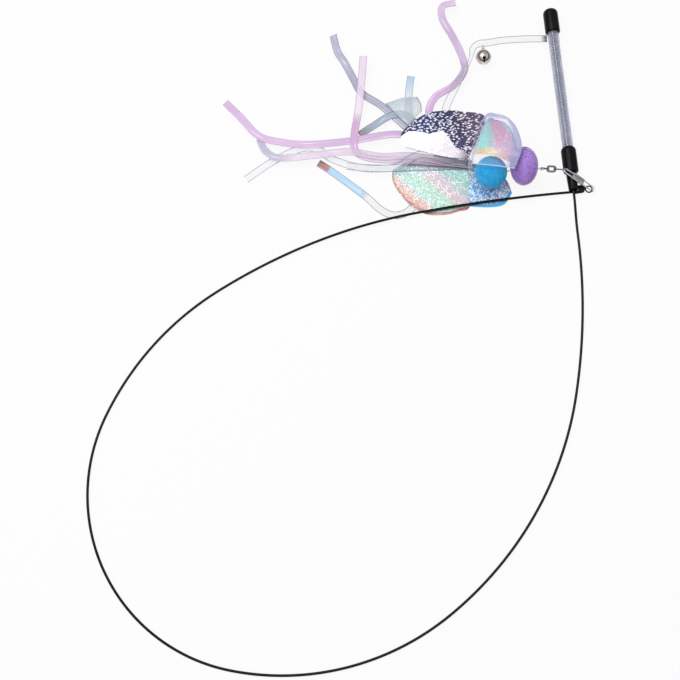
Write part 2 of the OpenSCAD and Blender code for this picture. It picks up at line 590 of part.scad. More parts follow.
/* String and pompoms */
module between(a, b, r) {
  way = b - a;
  translate(a) rotate([0, acos(way[2] / norm(way)), atan2(way[1], way[0])]) cylinder(r = r, h = norm(way));
}
module string() {
  color([0.85, 0.85, 0.9]) translate(home) {
    multmatrix(string_m) {
      translate([string_loop_x, 0, 0]) ring(string_loop_r, string_wire_r);
      translate([string_loop_x + string_loop_r, 0, 0]) rotate([0, 90, 0])
        cylinder(r = string_r, h = string_end + knot_r - string_loop_x - string_loop_r);
      translate([string_end + knot_r, 0, 0]) sphere(knot_r);
    }
    between(spot(string_m, [string_end + knot_r, 0, 0]), tie_knot_at, string_r);
    translate(tie_knot_at) sphere(knot_r);
  }
}
module string_bore() {
  multmatrix(string_m) rotate([0, 90, 0]) cylinder(r = string_r + pompom_bore_gap, h = string_end + over);
}
module purple_pompom() {
  color([0.66, 0.44, 0.83]) translate(home) difference() {
    translate(purple_at) rotate([0, 90, 0])
      rotate_extrude() polygon([for (a = [-90:10:90]) [purple_d / 2 * cos(a), purple_l / 2 * sin(a)]]);
    string_bore();
  }
}
module blue_pompom() {
  bore_r = string_r + pompom_bore_gap;
  bore_turn = acos(bore_r / (blue_d / 2));
  color([0.2, 0.62, 0.93]) translate(home) translate(blue_at) rotate([0, 0, string_heading])
    rotate([0, 90 - string_pitch, 0]) rotate_extrude()
      polygon([for (a = [-bore_turn:bore_turn / 9:bore_turn]) blue_d / 2 * [cos(a), sin(a)]]);
}

/* Tie */
module tie_band() {
  band_round = 1.2;
  color([0.9, 0.9, 0.93]) translate(home) translate([tie_xy[0], tie_xy[1], band_lift + band_h / 2])
    rotate([90, 0, 90]) linear_extrude(band_l, center = true) difference() {
      oval(band_w + 2 * band_wall, band_h + 2 * band_wall, band_round);
      oval(band_w, band_h, band_round - band_wall);
    }
}

/* Petals, from the lowest */
module film_copper() { color([0.62, 0.42, 0.4]) translate(home) petal(aqua_rows, level(1), copper_shift_share); }
module film_aqua() { color([0.75, 0.93, 0.88]) translate(home) petal(aqua_rows, level(2)); }
module film_blue() { color([0.35, 0.6, 0.85]) translate(home) petal(blue_rows, level(3)); }
module film_navy() { color([0.25, 0.25, 0.5]) translate(home) petal(navy_rows, level(15)); }
top_z = band_lift + band_h + band_wall + lay_gap;
module film_teal() { color([0.6, 0.9, 0.86]) translate(home) petal(teal_rows, top_z); }
module film_lavender() { color([0.8, 0.8, 0.95, 0.6]) translate(home) petal(lavender_rows, top_z); }

/* Ribbons, from the lowest */
pink = [0.88, 0.7, 0.9];
clear = [0.88, 0.9, 0.93, 0.6];
module ribbon_two_tone() { color([0.6, 0.78, 0.9]) translate(home) ribbon(two_tone_rows, level(-1)); }
module ribbon_curl() { color(clear) translate(home) ribbon(curl_rows, level(4)); }
module ribbon_grey() { color([0.66, 0.67, 0.76]) translate(home) ribbon(grey_rows, level(5)); }
module ribbon_smoke() { color([0.63, 0.68, 0.74]) translate(home) ribbon(smoke_rows, level(6)); }
module ribbon_short() { color(clear) translate(home) ribbon(short_rows, level(7)); }
module film_panel() { color([0.8, 0.83, 0.86, 0.7]) translate(home) panel(); }
module panel() {
  film([for (r = panel_rows) [for (p = r)
    [tie_xy[0] + p[0] * ribbon_l, tie_xy[1] + p[1] * ribbon_l, level(8) + p[2] * ribbon_l]]]);
}
module ribbon_pink_top() { color(pink) translate(home) film(pink_top_grid); }
module ribbon_bell() {
  color(clear) translate(home) difference() {
    ribbon(bell_rows, level(10));
    translate(hole_at - [0, 0, over]) cylinder(r = hole_r, h = 2 * over);
  }
}
module ribbon_pink_long() { color(pink) translate(home) ribbon(pink_long_rows, level(11)); }
module ribbon_pink_upright() { color(pink) translate(home) ribbon(pink_upright_rows, level(12)); }
module ribbon_pink_low() { color(pink) translate(home) ribbon(pink_low_rows, level(13)); }
module ribbon_clear() { color(clear) translate(home) ribbon(clear_rows, level(14)); }

/* Bell */
slot_w = 1.2;
slot_hole_d = 2.4;
// Reach of the slot to each side of the bell, and how far up the bell it comes, in bell radii
slot_shares = [0.8, 0.3];
// Place of the hole at each end of the slot, in bell radii
slot_hole_shares = [0.8, 0.5];
module bell_ring() {
  color("silver") translate(home) translate(bell_ring_at) rotate([0, 90, 0]) ring(bell_ring_r, bell_ring_wire_r);
}
module bell_shell() {
  color([0.75, 0.75, 0.77]) translate(home) translate(bell_at) difference() {
    sphere(bell_r);
    sphere(bell_r - bell_wall);
    translate([-slot_w / 2, -bell_r - over, -bell_r * slot_shares[0]])
      cube([slot_w, bell_r * (1 - slot_shares[1]) + over, 2 * bell_r * slot_shares[0]]);
    for (s = [-1, 1]) translate([0, -bell_r * slot_hole_shares[1], s * bell_r * slot_hole_shares[0]])
      sphere(d = slot_hole_d);
  }
}
module bell_eye() {
  color([0.7, 0.7, 0.72]) translate(home) difference() {
    translate(bell_eye_at) ring(bell_eye_r, bell_eye_wire_r);
    translate(bell_at) sphere(bell_r);
  }
}
module bell_ball() {
  color([0.5, 0.5, 0.52]) translate(home)
    translate(bell_at - [0, 0, bell_r - bell_wall - ball_d / 2 - ball_rest_gap]) sphere(d = ball_d);
}

handle_tube();
handle_core();
butt_cap();
neck_cap();
neck_ferrule();
rod();
tip_sleeve();
tip_eye();
snap_wire();
snap_plate();
snap_gate();
swivel_front_eye();
swivel_frame();
swivel_rear_eye();
string();
purple_pompom();
blue_pompom();
tie_band();
film_copper();
film_aqua();
film_blue();
film_navy();
film_teal();
film_lavender();
ribbon_two_tone();
ribbon_curl();
ribbon_grey();
ribbon_smoke();
ribbon_short();
film_panel();
ribbon_pink_top();
ribbon_bell();
ribbon_pink_long();
ribbon_pink_upright();
ribbon_pink_low();
ribbon_clear();
bell_ring();
bell_shell();
bell_eye();
bell_ball();
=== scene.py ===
import math
import random
import bpy
import bmesh
from mathutils import Matrix, Vector


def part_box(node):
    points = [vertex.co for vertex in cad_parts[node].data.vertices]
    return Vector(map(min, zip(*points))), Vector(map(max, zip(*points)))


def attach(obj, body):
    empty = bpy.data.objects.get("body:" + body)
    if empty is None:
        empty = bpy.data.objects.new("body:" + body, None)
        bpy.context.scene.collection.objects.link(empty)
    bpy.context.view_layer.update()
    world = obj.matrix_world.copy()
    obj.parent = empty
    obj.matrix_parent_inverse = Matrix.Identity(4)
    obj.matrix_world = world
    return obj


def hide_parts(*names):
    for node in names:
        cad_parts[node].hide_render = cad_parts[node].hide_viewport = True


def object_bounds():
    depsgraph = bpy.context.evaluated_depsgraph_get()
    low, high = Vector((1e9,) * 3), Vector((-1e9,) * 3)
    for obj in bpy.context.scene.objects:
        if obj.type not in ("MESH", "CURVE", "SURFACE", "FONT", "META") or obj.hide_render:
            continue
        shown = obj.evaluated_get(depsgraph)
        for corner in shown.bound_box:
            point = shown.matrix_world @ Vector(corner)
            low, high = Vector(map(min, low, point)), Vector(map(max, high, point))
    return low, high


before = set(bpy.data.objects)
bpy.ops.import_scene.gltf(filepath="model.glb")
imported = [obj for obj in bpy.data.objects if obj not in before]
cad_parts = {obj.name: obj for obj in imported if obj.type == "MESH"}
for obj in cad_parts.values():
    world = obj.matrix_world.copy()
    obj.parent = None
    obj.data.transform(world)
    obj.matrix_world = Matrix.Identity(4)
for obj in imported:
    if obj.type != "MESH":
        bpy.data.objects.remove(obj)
cad_low, cad_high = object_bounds()


# ------------------------------
# Floor, backdrop, light and camera.
# The toy lies on a plain white sheet of paper and is seen from 13 degrees off straight above;
# one broad soft lamp hangs over it on the left.
MM = 0.001
LAMP_AT = Vector((-0.45, 0.35, 1.1))
CAMERA_AT = (-5.565 * MM, -185.82 * MM, 740.52 * MM)


def deselect():
    if bpy.context.object and bpy.context.object.mode != "OBJECT":
        bpy.ops.object.mode_set(mode="OBJECT")
    bpy.ops.object.select_all(action="DESELECT")


def named(name):
    """Names the piece that was just made and puts its place in its mesh."""
    piece = bpy.context.object
    piece.name = piece.data.name = name
    bpy.ops.object.transform_apply()
    return piece


def feed(socket, value):
    """Links a socket to the output that is its value, or sets it."""
    if isinstance(value, bpy.types.NodeSocket):
        socket.id_data.links.new(value, socket)
    else:
        socket.default_value = value


def fill(node, **values):
    """Feeds a node's sockets by name; a word in small letters is one of its settings."""
    for word, value in values.items():
        if word.islower():
            setattr(node, word, value)
        else:
            feed(node.inputs[word.replace("_", " ")], value)


def put(tree, kind, *first, **values):
    """A new node, its first sockets fed in turn and others by name; gives its outputs."""
    node = tree.nodes.new(kind)
    fill(node, **values)
    for socket, value in zip(node.inputs, first):
        feed(socket, value)
    return node.outputs


def math_node(tree, operation, *values):
    return put(tree, "ShaderNodeMath", *values, operation=operation)[0]


def finish_named(name, **sockets):
    finish = bpy.data.materials.new(name)
    finish.use_nodes = True
    shader = finish.node_tree.nodes["Principled BSDF"]
    fill(shader, **sockets)
    return finish, finish.node_tree, shader


def seen_white(tree):
    """1 for rays that show the background: from the camera, in gloss and through clear plastic."""
    path = put(tree, "ShaderNodeLightPath")
    glossy = math_node(tree, "MAXIMUM", path["Is Camera Ray"], path["Is Glossy Ray"])
    return math_node(tree, "MAXIMUM", glossy, path["Is Transmission Ray"])


deselect()
bpy.ops.mesh.primitive_plane_add(size=8, location=(0, 0, cad_low.z - 0.05 * MM))
floor = named("paper_floor")
paper, tree, shader = finish_named("white_paper", Base_Color=(0.86, 0.86, 0.87, 1), Roughness=0.9,
                                   Specular_IOR_Level=0.1)
glow = put(tree, "ShaderNodeEmission", Color=(1, 1, 1, 1))[0]
part_glow = math_node(tree, "MULTIPLY", seen_white(tree), 0.9)
both = put(tree, "ShaderNodeMixShader", part_glow, shader.outputs[0], glow)[0]
fill(tree.nodes["Material Output"], Surface=both)
floor.data.materials.append(paper)

world = bpy.data.worlds.new("soft_room")
world.use_nodes = True
bpy.context.scene.world = world
tree = world.node_tree
way_up = put(tree, "ShaderNodeSeparateXYZ", put(tree, "ShaderNodeTexCoord")["Generated"])["Z"]
walls = put(tree, "ShaderNodeMapRange", interpolation_type="SMOOTHSTEP", Value=way_up, From_Min=0.2,
            From_Max=0.6, To_Min=0.12, To_Max=1.0)["Result"]
shown = math_node(tree, "MAXIMUM", walls, put(tree, "ShaderNodeLightPath")["Is Camera Ray"])
level = put(tree, "ShaderNodeMapRange", Value=seen_white(tree), To_Min=0.55, To_Max=shown)["Result"]
fill(tree.nodes["Background"], Color=(1, 1, 1, 1), Strength=level)

lamp_data = bpy.data.lights.new("overhead_softbox", "AREA")
lamp_data.shape = "RECTANGLE"
lamp_data.size = 0.9
lamp_data.size_y = 0.7
lamp_data.energy = 8.5
lamp = bpy.data.objects.new("overhead_softbox", lamp_data)
lamp.location = LAMP_AT
lamp.rotation_euler = LAMP_AT.to_track_quat("Z", "Y").to_euler()
bpy.context.scene.collection.objects.link(lamp)

camera_data = bpy.data.cameras.new("camera")
camera_data.lens = 60.96
camera_data.sensor_width = 36
camera_data.clip_start = 0.01
camera = bpy.data.objects.new("camera", camera_data)
camera.location = CAMERA_AT
camera.rotation_euler = (math.radians(13), 0, 0)
bpy.context.scene.collection.objects.link(camera)
bpy.context.scene.camera = camera
bpy.context.scene.view_settings.view_transform = "Standard"


# ------------------------------
# Grip tube.
# A length of clear, faintly lilac vinyl tube, cut square and pushed into a black cap at each
# end; its wall is 1.7 mm and its bore takes a steel strand.
TUBE_R = 3.8 * MM
TUBE_WALL = 1.7 * MM
TUBE_LONG = 109 * MM
TUBE_START = 18 * MM
GRIP_LEAN = math.radians(4.5)
GRIP_WAY = Vector((-math.sin(GRIP_LEAN), math.cos(GRIP_LEAN), 0))


def middle_of(node):
    low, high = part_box(node)
    return (low + high) / 2


# The neck, where the wire comes out; heights in the grip are counted from it
NECK = middle_of("handle_core") - GRIP_WAY * 70.5 * MM


def tint(red, green, blue, solid=1):
    """A colour read as 0 to 255 on a screen, as the shader wants it."""
    def straight(c):
        c /= 255
        return c / 12.92 if c <= 0.04045 else ((c + 0.055) / 1.055) ** 2.4
    return (straight(red), straight(green), straight(blue), solid)


def modified(piece, kind, **settings):
    """Puts a modifier with these settings on the active piece and applies it."""
    modifier = piece.modifiers.new(kind, kind)
    for word, value in settings.items():
        setattr(modifier, word, value)
    bpy.ops.object.modifier_apply(modifier=modifier.name)


def shade(angle):
    """Shades the active piece round, apart from edges sharper than the angle in degrees."""
    bpy.ops.object.shade_smooth_by_angle(angle=math.radians(angle))


def outwards(angle):
    """Turns the active piece's faces outwards and shades it."""
    bpy.ops.object.mode_set(mode="EDIT")
    bpy.ops.mesh.select_all(action="SELECT")
    bpy.ops.mesh.normals_make_consistent(inside=False)
    bpy.ops.object.mode_set(mode="OBJECT")
    shade(angle)


def lay_along_grip(piece):
    """Turns a piece that was made standing on the neck, and puts its place in its mesh."""
    piece.rotation_euler = (math.radians(-90), 0, GRIP_LEAN)
    piece.location = NECK
    bpy.ops.object.transform_apply()
    return piece


def settle(piece, finish, body, slot, *stands_for):
    piece.data.materials.clear()
    piece.data.materials.append(finish)
    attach(piece, body)
    if stands_for:
        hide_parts(*stands_for)


COLOUR = "NodeSocketColor"
NUMBER = "NodeSocketFloat"
VECTOR = "NodeSocketVector"


def group_named(name, inputs, outputs):
    """An empty shader node group with these sockets, what goes into it and its far end."""
    group = bpy.data.node_groups.new(name, "ShaderNodeTree")
    for side, sockets in (("INPUT", inputs), ("OUTPUT", outputs)):
        for socket, kind in sockets.items():
            group.interface.new_socket(socket.replace("_", " "), in_out=side, socket_type=kind)
    return group, group.nodes.new("NodeGroupInput").outputs, group.nodes.new("NodeGroupOutput")


def mix_node(tree, factor, first, second):
    node = tree.nodes.new("ShaderNodeMix")
    node.data_type = "RGBA"
    for socket, value in ((0, factor), (6, first), (7, second)):
        feed(node.inputs[socket], value)
    return node.outputs[2]


def place_on(tree):
    return put(tree, "ShaderNodeTexCoord")["Object"]


def noise(tree, at, size, detail):
    return put(tree, "ShaderNodeTexNoise", Vector=at, Scale=size, Detail=detail)["Fac"]


def rise(tree, value, start, end, way="SMOOTHSTEP"):
    """Rises from 0 to 1 as the value goes from start to end."""
    return put(tree, "ShaderNodeMapRange", interpolation_type=way, Value=value, From_Min=start,
               From_Max=end)["Result"]


def vector_node(tree, operation, *values, **named_values):
    return put(tree, "ShaderNodeVectorMath", *values, operation=operation, **named_values)


def bump(tree, height, strength, depth):
    """The way a skin faces that its height raises by up to a depth in mm."""
    return put(tree, "ShaderNodeBump", Strength=strength, Distance=depth * MM, Height=height)["Normal"]


# Handling marks: soft smears in the gloss and a slight unevenness of the skin
handling_marks, given, made = group_named(
    "handling_marks",
    dict(Colour=COLOUR, Smear_Colour=COLOUR, Least_Roughness=NUMBER, Most_Roughness=NUMBER, Grain_Size=NUMBER),
    dict(Colour=COLOUR, Roughness=NUMBER, Height=NUMBER))
tree = handling_marks
spot_at = place_on(tree)
smear = rise(tree, noise(tree, spot_at, 90, 4), 0.42, 0.68, "LINEAR")
rough = put(tree, "ShaderNodeMapRange", Value=smear, To_Min=given["Least Roughness"],
            To_Max=given["Most Roughness"])["Result"]
fill(made, Colour=mix_node(tree, smear, given["Colour"], given["Smear Colour"]), Roughness=rough,
     Height=noise(tree, spot_at, given["Grain Size"], 3))


def marks_on(tree, colour, smear_colour, gloss, grain_size=400.0):
    """Handling marks in two colours as on a screen, between a least and a most roughness."""
    return put(tree, "ShaderNodeGroup", node_tree=handling_marks, Colour=tint(*colour),
               Smear_Colour=tint(*smear_colour), Least_Roughness=gloss[0], Most_Roughness=gloss[1],
               Grain_Size=grain_size)


def marked_finish(name, colour, smear_colour, gloss, grain_size, strength, depth, **sockets):
    """A finish whose colour, gloss and skin come from the handling marks."""
    finish, tree, shader = finish_named(name, **sockets)
    marks = marks_on(tree, colour, smear_colour, gloss, grain_size)
    fill(shader, Base_Color=marks["Colour"], Roughness=marks["Roughness"],
         Normal=bump(tree, marks["Height"], strength, depth))
    return finish


deselect()
bpy.ops.mesh.primitive_cylinder_add(vertices=64, radius=TUBE_R, depth=TUBE_LONG, end_fill_type="NOTHING",
                                    location=(0, 0, TUBE_START + TUBE_LONG / 2))
tube = named("grip_tube")
modified(tube, "SOLIDIFY", thickness=TUBE_WALL, offset=-1)
shade(40)
lay_along_grip(tube)
clear_vinyl, tree, shader = finish_named("clear_lilac_vinyl", IOR=1.42, Transmission_Weight=0.8)
marks = marks_on(tree, (198, 200, 216), (188, 190, 208), (0.0, 0.03))
fill(shader, Base_Color=marks["Colour"], Roughness=marks["Roughness"])
settle(tube, clear_vinyl, "wand", "clear_tube", "handle_tube")


# ------------------------------
# Steel strand in the grip.
# A straight steel heart with a bright wire wound round it in open turns; it stiffens the grip,
# and its turns catch the light as a row of bright beads through the clear tube.
WRAP_WIRE = 0.53 * MM
WRAP_PITCH = 2.17 * MM
STRAND_LONG = 113 * MM
STRAND_START = 14 * MM

deselect()
lean = math.atan2(2 * math.pi * 2 * WRAP_WIRE, WRAP_PITCH)
bpy.ops.mesh.primitive_circle_add(vertices=12, radius=WRAP_WIRE, location=(2 * WRAP_WIRE, 0, 0),
                                  rotation=(-lean, 0, 0))
strand = named("grip_strand")
modified(strand, "SCREW", axis="Z", angle=2 * math.pi * STRAND_LONG / WRAP_PITCH, screw_offset=STRAND_LONG,
         steps=1250, render_steps=1250, use_normal_calculate=True)
bpy.ops.object.mode_set(mode="EDIT")
bpy.ops.mesh.select_all(action="SELECT")
bpy.ops.mesh.fill_holes(sides=0)
bpy.ops.mesh.normals_make_consistent(inside=False)
bpy.ops.mesh.primitive_cylinder_add(vertices=24, radius=WRAP_WIRE, depth=STRAND_LONG,
                                    location=(0, 0, STRAND_LONG / 2))
bpy.ops.object.mode_set(mode="OBJECT")
strand.location = (0, 0, STRAND_START)
bpy.ops.object.transform_apply()
shade(50)
lay_along_grip(strand)
strand_steel, tree, shader = finish_named("bright_strand_steel", Metallic=0.5)
marks = marks_on(tree, (252, 252, 255), (238, 239, 246), (0.22, 0.36), 700.0)
# Painted shade: the turns are bright on their crowns, and their colour darkens where they meet the heart, in the
# crevices between them
FLANK, CROWN = 1.25 * MM, 1.5 * MM
from_neck = vector_node(tree, "SUBTRACT", place_on(tree), NECK)[0]
how_far = vector_node(tree, "LENGTH", vector_node(tree, "CROSS_PRODUCT", from_neck, GRIP_WAY)[0])["Value"]
clear_of_crevice_shade = rise(tree, how_far, FLANK, CROWN)
fill(shader, Base_Color=mix_node(tree, clear_of_crevice_shade, tint(124, 127, 146), marks["Colour"]),
     Roughness=marks["Roughness"])
settle(strand, strand_steel, "wand", "steel_strand", "handle_core")


# ------------------------------
# Black end caps and ferrule.
# Two soft vinyl caps, dipped and pushed over the tube's ends, each with a domed end and a thin
# rolled mouth; a tapered ferrule of harder plastic carries the wire out of the lower cap.
CAP_R = 5.1 * MM
DOME = 3.6 * MM
MOUTH = 1.0 * MM
FERRULE_LONG = 12.3 * MM
FERRULE_OUT = 1.3 * MM


def cap(name, low, length):
    """A dipped cap: a cylinder with a domed far end and a rolled near one."""
    deselect()
    bpy.ops.mesh.primitive_cylinder_add(vertices=72, radius=CAP_R, depth=length,
                                        location=(0, 0, low + length / 2))
    piece = named(name)
    bpy.ops.object.mode_set(mode="EDIT")
    for end, offset, steps in ((low + length, DOME, 10), (low, MOUTH, 5)):
        bpy.ops.mesh.select_all(action="DESELECT")
        bpy.ops.mesh.select_mode(type="EDGE")
        bm = bmesh.from_edit_mesh(piece.data)
        for edge in bm.edges:
            edge.select_set(all(abs(v.co.z - end) < 0.001 * MM for v in edge.verts))
        bmesh.update_edit_mesh(piece.data)
        bpy.ops.mesh.bevel(offset=offset, segments=steps, profile=0.5, affect="EDGES")
    outwards(35)
    return lay_along_grip(piece)


black_vinyl = marked_finish("dipped_black_vinyl", (5, 5, 8), (11, 12, 17), (0.32, 0.48), 260.0, 0.16, 0.12,
                            Specular_IOR_Level=0.12)
settle(cap("grip_butt_cap", 115 * MM, 18 * MM), black_vinyl, "wand", "black_vinyl", "butt_cap")
settle(cap("grip_neck_cap", 11 * MM, 19 * MM), black_vinyl, "wand", "black_vinyl", "neck_cap")

deselect()
bpy.ops.mesh.primitive_cone_add(vertices=64, radius1=3.2 * MM, radius2=3.7 * MM, depth=FERRULE_LONG,
                                location=(0, 0, FERRULE_LONG / 2 - FERRULE_OUT))
ferrule = named("grip_ferrule")
bpy.ops.object.mode_set(mode="EDIT")
bpy.ops.mesh.select_mode(type="FACE")
bpy.ops.mesh.select_all(action="DESELECT")
bm = bmesh.from_edit_mesh(ferrule.data)
for face in bm.faces:
    face.select_set(face.normal.z < -0.9)
bmesh.update_edit_mesh(ferrule.data)
# A flat rim and a dished mouth round the wire
bpy.ops.mesh.inset(thickness=0.35 * MM)
bpy.ops.mesh.inset(thickness=1.5 * MM)
bpy.ops.transform.translate(value=(0, 0, 0.9 * MM))
bpy.ops.object.mode_set(mode="OBJECT")
modified(ferrule, "BEVEL", width=0.3 * MM, segments=3, limit_method="ANGLE", angle_limit=math.radians(40))
shade(35)
lay_along_grip(ferrule)
black_ferrule = marked_finish("hard_black_ferrule", (5, 5, 7), (12, 13, 16), (0.24, 0.4), 500.0, 0.1, 0.05,
                              Specular_IOR_Level=0.12)
settle(ferrule, black_ferrule, "wand", "black_ferrule", "neck_ferrule")


# ------------------------------
# Spring wire.
# One hard-drawn steel wire of 1.76 mm with its black coating, a little over a metre long; its
# own spring holds the open loop that it lies in, and it climbs over the petals near its tip.
WIRE_R = 0.88 * MM
DROP, DROP_R = 4.22, 60
RISE, RISE_R, RISE_SWEEP = 1.8, 368, 11.4
DROP_SWEEP = math.degrees(math.acos(1 - DROP / (2 * DROP_R)))
RISE_ROLL = math.degrees(math.asin(RISE / (2 * RISE_R * (1 - math.cos(math.radians(RISE_SWEEP))))))
# Radius in mm, sweep and roll in degrees, as the wire is bent; no radius is a straight length
LOOP_BENDS = [
    (0, 14, 0), (DROP_R, DROP_SWEEP, 90), (DROP_R, DROP_SWEEP, -90), (409.6, 15.5, 0), (233.6, 41, 0),
    (169.6, 49, 0), (115.2, 102.5, 0), (192, 33, 0), (RISE_R, RISE_SWEEP, -RISE_ROLL),
    (RISE_R, RISE_SWEEP, RISE_ROLL), (1049.6, 6, 0), (0, 3.8, 0)]


def bend_wire(name, start, bends, radius, sides, longest, turn=6.0):
    """A wire drawn out and bent along its rows from a frame: a disc is extruded on each straight
    and spun round the middle of each bend, no further in one step than the longest one."""
    deselect()
    bpy.ops.mesh.primitive_circle_add(vertices=sides, radius=radius, fill_type="NGON",
                                      rotation=(0, math.pi / 2, 0))
    wire = named(name)
    wire.matrix_world = start
    bpy.ops.object.transform_apply()
    bpy.ops.object.mode_set(mode="EDIT")
    bpy.ops.mesh.select_mode(type="VERT")
    bpy.ops.mesh.select_all(action="SELECT")
    at = start.copy()
    for bend, sweep, roll in bends:
        if bend == 0:
            along = at.to_3x3() @ Vector((sweep * MM, 0, 0))
            bpy.ops.mesh.extrude_region_move(TRANSFORM_OT_translate={"value": along})
            at = Matrix.Translation(along) @ at
            continue
        rolled = at @ Matrix.Rotation(math.radians(roll), 4, "X")
        middle = rolled @ Vector((0, -bend * MM, 0))
        pin = rolled.to_3x3() @ Vector((0, 0, 1))
        steps = max(math.ceil(bend * math.radians(sweep) / longest), math.ceil(sweep / turn))
        bpy.ops.mesh.spin(steps=steps, angle=math.radians(sweep), center=middle, axis=pin)
        at = (Matrix.Translation(middle) @ Matrix.Rotation(-math.radians(sweep), 4, pin)
              @ Matrix.Translation(-middle) @ at)
    bpy.ops.mesh.edge_face_add()
    bpy.ops.mesh.select_all(action="SELECT")
    bpy.ops.mesh.remove_doubles(threshold=0.001 * MM)
    outwards(45)
    return wire


neck_frame = Matrix.Translation(NECK) @ Matrix.Rotation(GRIP_LEAN - math.pi / 2, 4, "Z")
wire = bend_wire("spring_wire", neck_frame @ Matrix.Translation((-14 * MM, 0, 0)), LOOP_BENDS, WIRE_R, 16, 3.2)
coated_wire = marked_finish("black_coated_wire", (6, 6, 7), (14, 14, 16), (0.2, 0.32), 900.0, 0.04, 0.02,
                            Specular_IOR_Level=0.16)
settle(wire, coated_wire, "wand", "coated_spring_wire", "rod")


# ------------------------------
# Tip sleeve and tip eye.
# A flat shrink sleeve binds the wire's tip to the shank of a small ring of black wire, which
# is the eye that the snap hangs in.
SLEEVE_WAY = Vector((7.18, 1.717, 0)).normalized()
SHRUNK_LONG = 2.4 * MM
SHRUNK_BY = 0.34
SLEEVE_BACK = 2.6 * MM


def take(piece):
    """Selects this piece alone and makes it the active one."""
    deselect()
    piece.select_set(True)
    bpy.context.view_layer.objects.active = piece


def smoothed(node, name):
    """A copy of a turned or bent CAD solid with its edges merged, so that its curves shade round."""
    piece = bpy.data.objects.new(name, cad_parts[node].data.copy())
    piece.data.name = name
    bpy.context.scene.collection.objects.link(piece)
    take(piece)
    bpy.ops.object.mode_set(mode="EDIT")
    bpy.ops.mesh.select_all(action="SELECT")
    bpy.ops.mesh.remove_doubles(threshold=0.002 * MM)
    bpy.ops.object.mode_set(mode="OBJECT")
    shade(40)
    return piece


def dress(node, name, finish, body, slot):
    """A smoothed copy stands for its CAD solid."""
    settle(smoothed(node, name), finish, body, slot, node)


shrink = marked_finish("black_shrink_sleeve", (7, 7, 9), (17, 17, 20), (0.34, 0.5), 800.0, 0.2, 0.06,
                       Specular_IOR_Level=0.2)
sleeve = smoothed("tip_sleeve", "tip_shrink_sleeve")
# Its end by the eye has shrunk onto the thinner shank, and its start reaches back over the wire
bm = bmesh.new()
bm.from_mesh(sleeve.data)
sleeve_end = max(v.co.dot(SLEEVE_WAY) for v in bm.verts)
rim = [v.co.copy() for v in bm.verts if v.co.dot(SLEEVE_WAY) > sleeve_end - 0.1 * MM]
rim_middle = sum(rim, Vector()) / len(rim)
for back in (SHRUNK_LONG, SHRUNK_LONG * 2 / 3, SHRUNK_LONG / 3):
    bmesh.ops.bisect_plane(bm, geom=bm.verts[:] + bm.edges[:] + bm.faces[:],
                           plane_co=rim_middle - SLEEVE_WAY * back, plane_no=SLEEVE_WAY)
sleeve_start = min(v.co.dot(SLEEVE_WAY) for v in bm.verts)
for v in bm.verts:
    if v.co.dot(SLEEVE_WAY) < sleeve_start + 0.1 * MM:
        v.co -= SLEEVE_WAY * SLEEVE_BACK
    share = max(0, 1 - (sleeve_end - v.co.dot(SLEEVE_WAY)) / SHRUNK_LONG)
    out = v.co - rim_middle
    out -= SLEEVE_WAY * out.dot(SLEEVE_WAY)
    v.co -= out * SHRUNK_BY * share ** 0.7
bm.to_mesh(sleeve.data)
bm.free()
settle(sleeve, shrink, "wand", "black_sleeve", "tip_sleeve")
eye_black = marked_finish("black_eye_wire", (12, 12, 14), (28, 28, 31), (0.25, 0.4), 900.0, 0.1, 0.03,
                          Specular_IOR_Level=0.3)
dress("tip_eye", "tip_wire_eye", eye_black, "wand", "black_wire")


# ------------------------------
# Safety snap.
# A hairpin of bright 0.8 mm spring wire through the tip eye, with a pressed steel latch plate
# round both legs and a free leg that springs out of it to open.
SNAP_X = Vector((-0.789039, 0.310811, 0.529919))
SNAP_Z = Vector((0.493046, -0.194216, 0.848048))
SNAP_AT = Vector((163.231, 89.539, 2.508)) * MM
# Its own frame: x runs along its legs from the tip eye, and y from leg to leg
snap_turn = Matrix((SNAP_X, SNAP_Z.cross(SNAP_X), SNAP_Z)).transposed().to_4x4()
snap_frame = Matrix.Translation(SNAP_AT) @ snap_turn
# In mm: the two bends of the hairpin, how far apart their middles are, and what the plate is
HOOK_R, END_R, APART = 1.65, 1.2, 25.8
PLATE_MIDDLE, PLATE_LONG, PLATE_THICK = 11, 10, 0.2
ARM_SLANT = math.degrees(math.asin((HOOK_R - END_R) / APART))
ARM_LONG = APART * math.cos(math.radians(ARM_SLANT))
hook_start = (snap_frame @ Matrix.Translation((-2.7 * MM, -HOOK_R * MM, 0))
              @ Matrix.Rotation(math.radians(180 + ARM_SLANT), 4, "Z") @ Matrix.Translation((0, HOOK_R * MM, 0)))
hairpin = bend_wire("snap_hairpin", hook_start, [
    (HOOK_R, 180 + 2 * ARM_SLANT, 0), (0, ARM_LONG, 0), (END_R, 180 - 2 * ARM_SLANT, 0)], 0.4 * MM, 14, 5, 9.0)
chrome = marked_finish("bright_nickel_wire", (232, 232, 238), (205, 205, 212), (0.1, 0.24), 900.0, 0.05, 0.02,
                       Metallic=1.0)
settle(hairpin, chrome, "snap", "bright_wire", "snap_wire")
dress("snap_gate", "snap_free_leg", chrome, "gate", "bright_wire")
plate_steel = marked_finish("pressed_latch_steel", (214, 214, 222), (176, 178, 188), (0.1, 0.22), 600.0, 0.08,
                            0.03, Metallic=1.0)
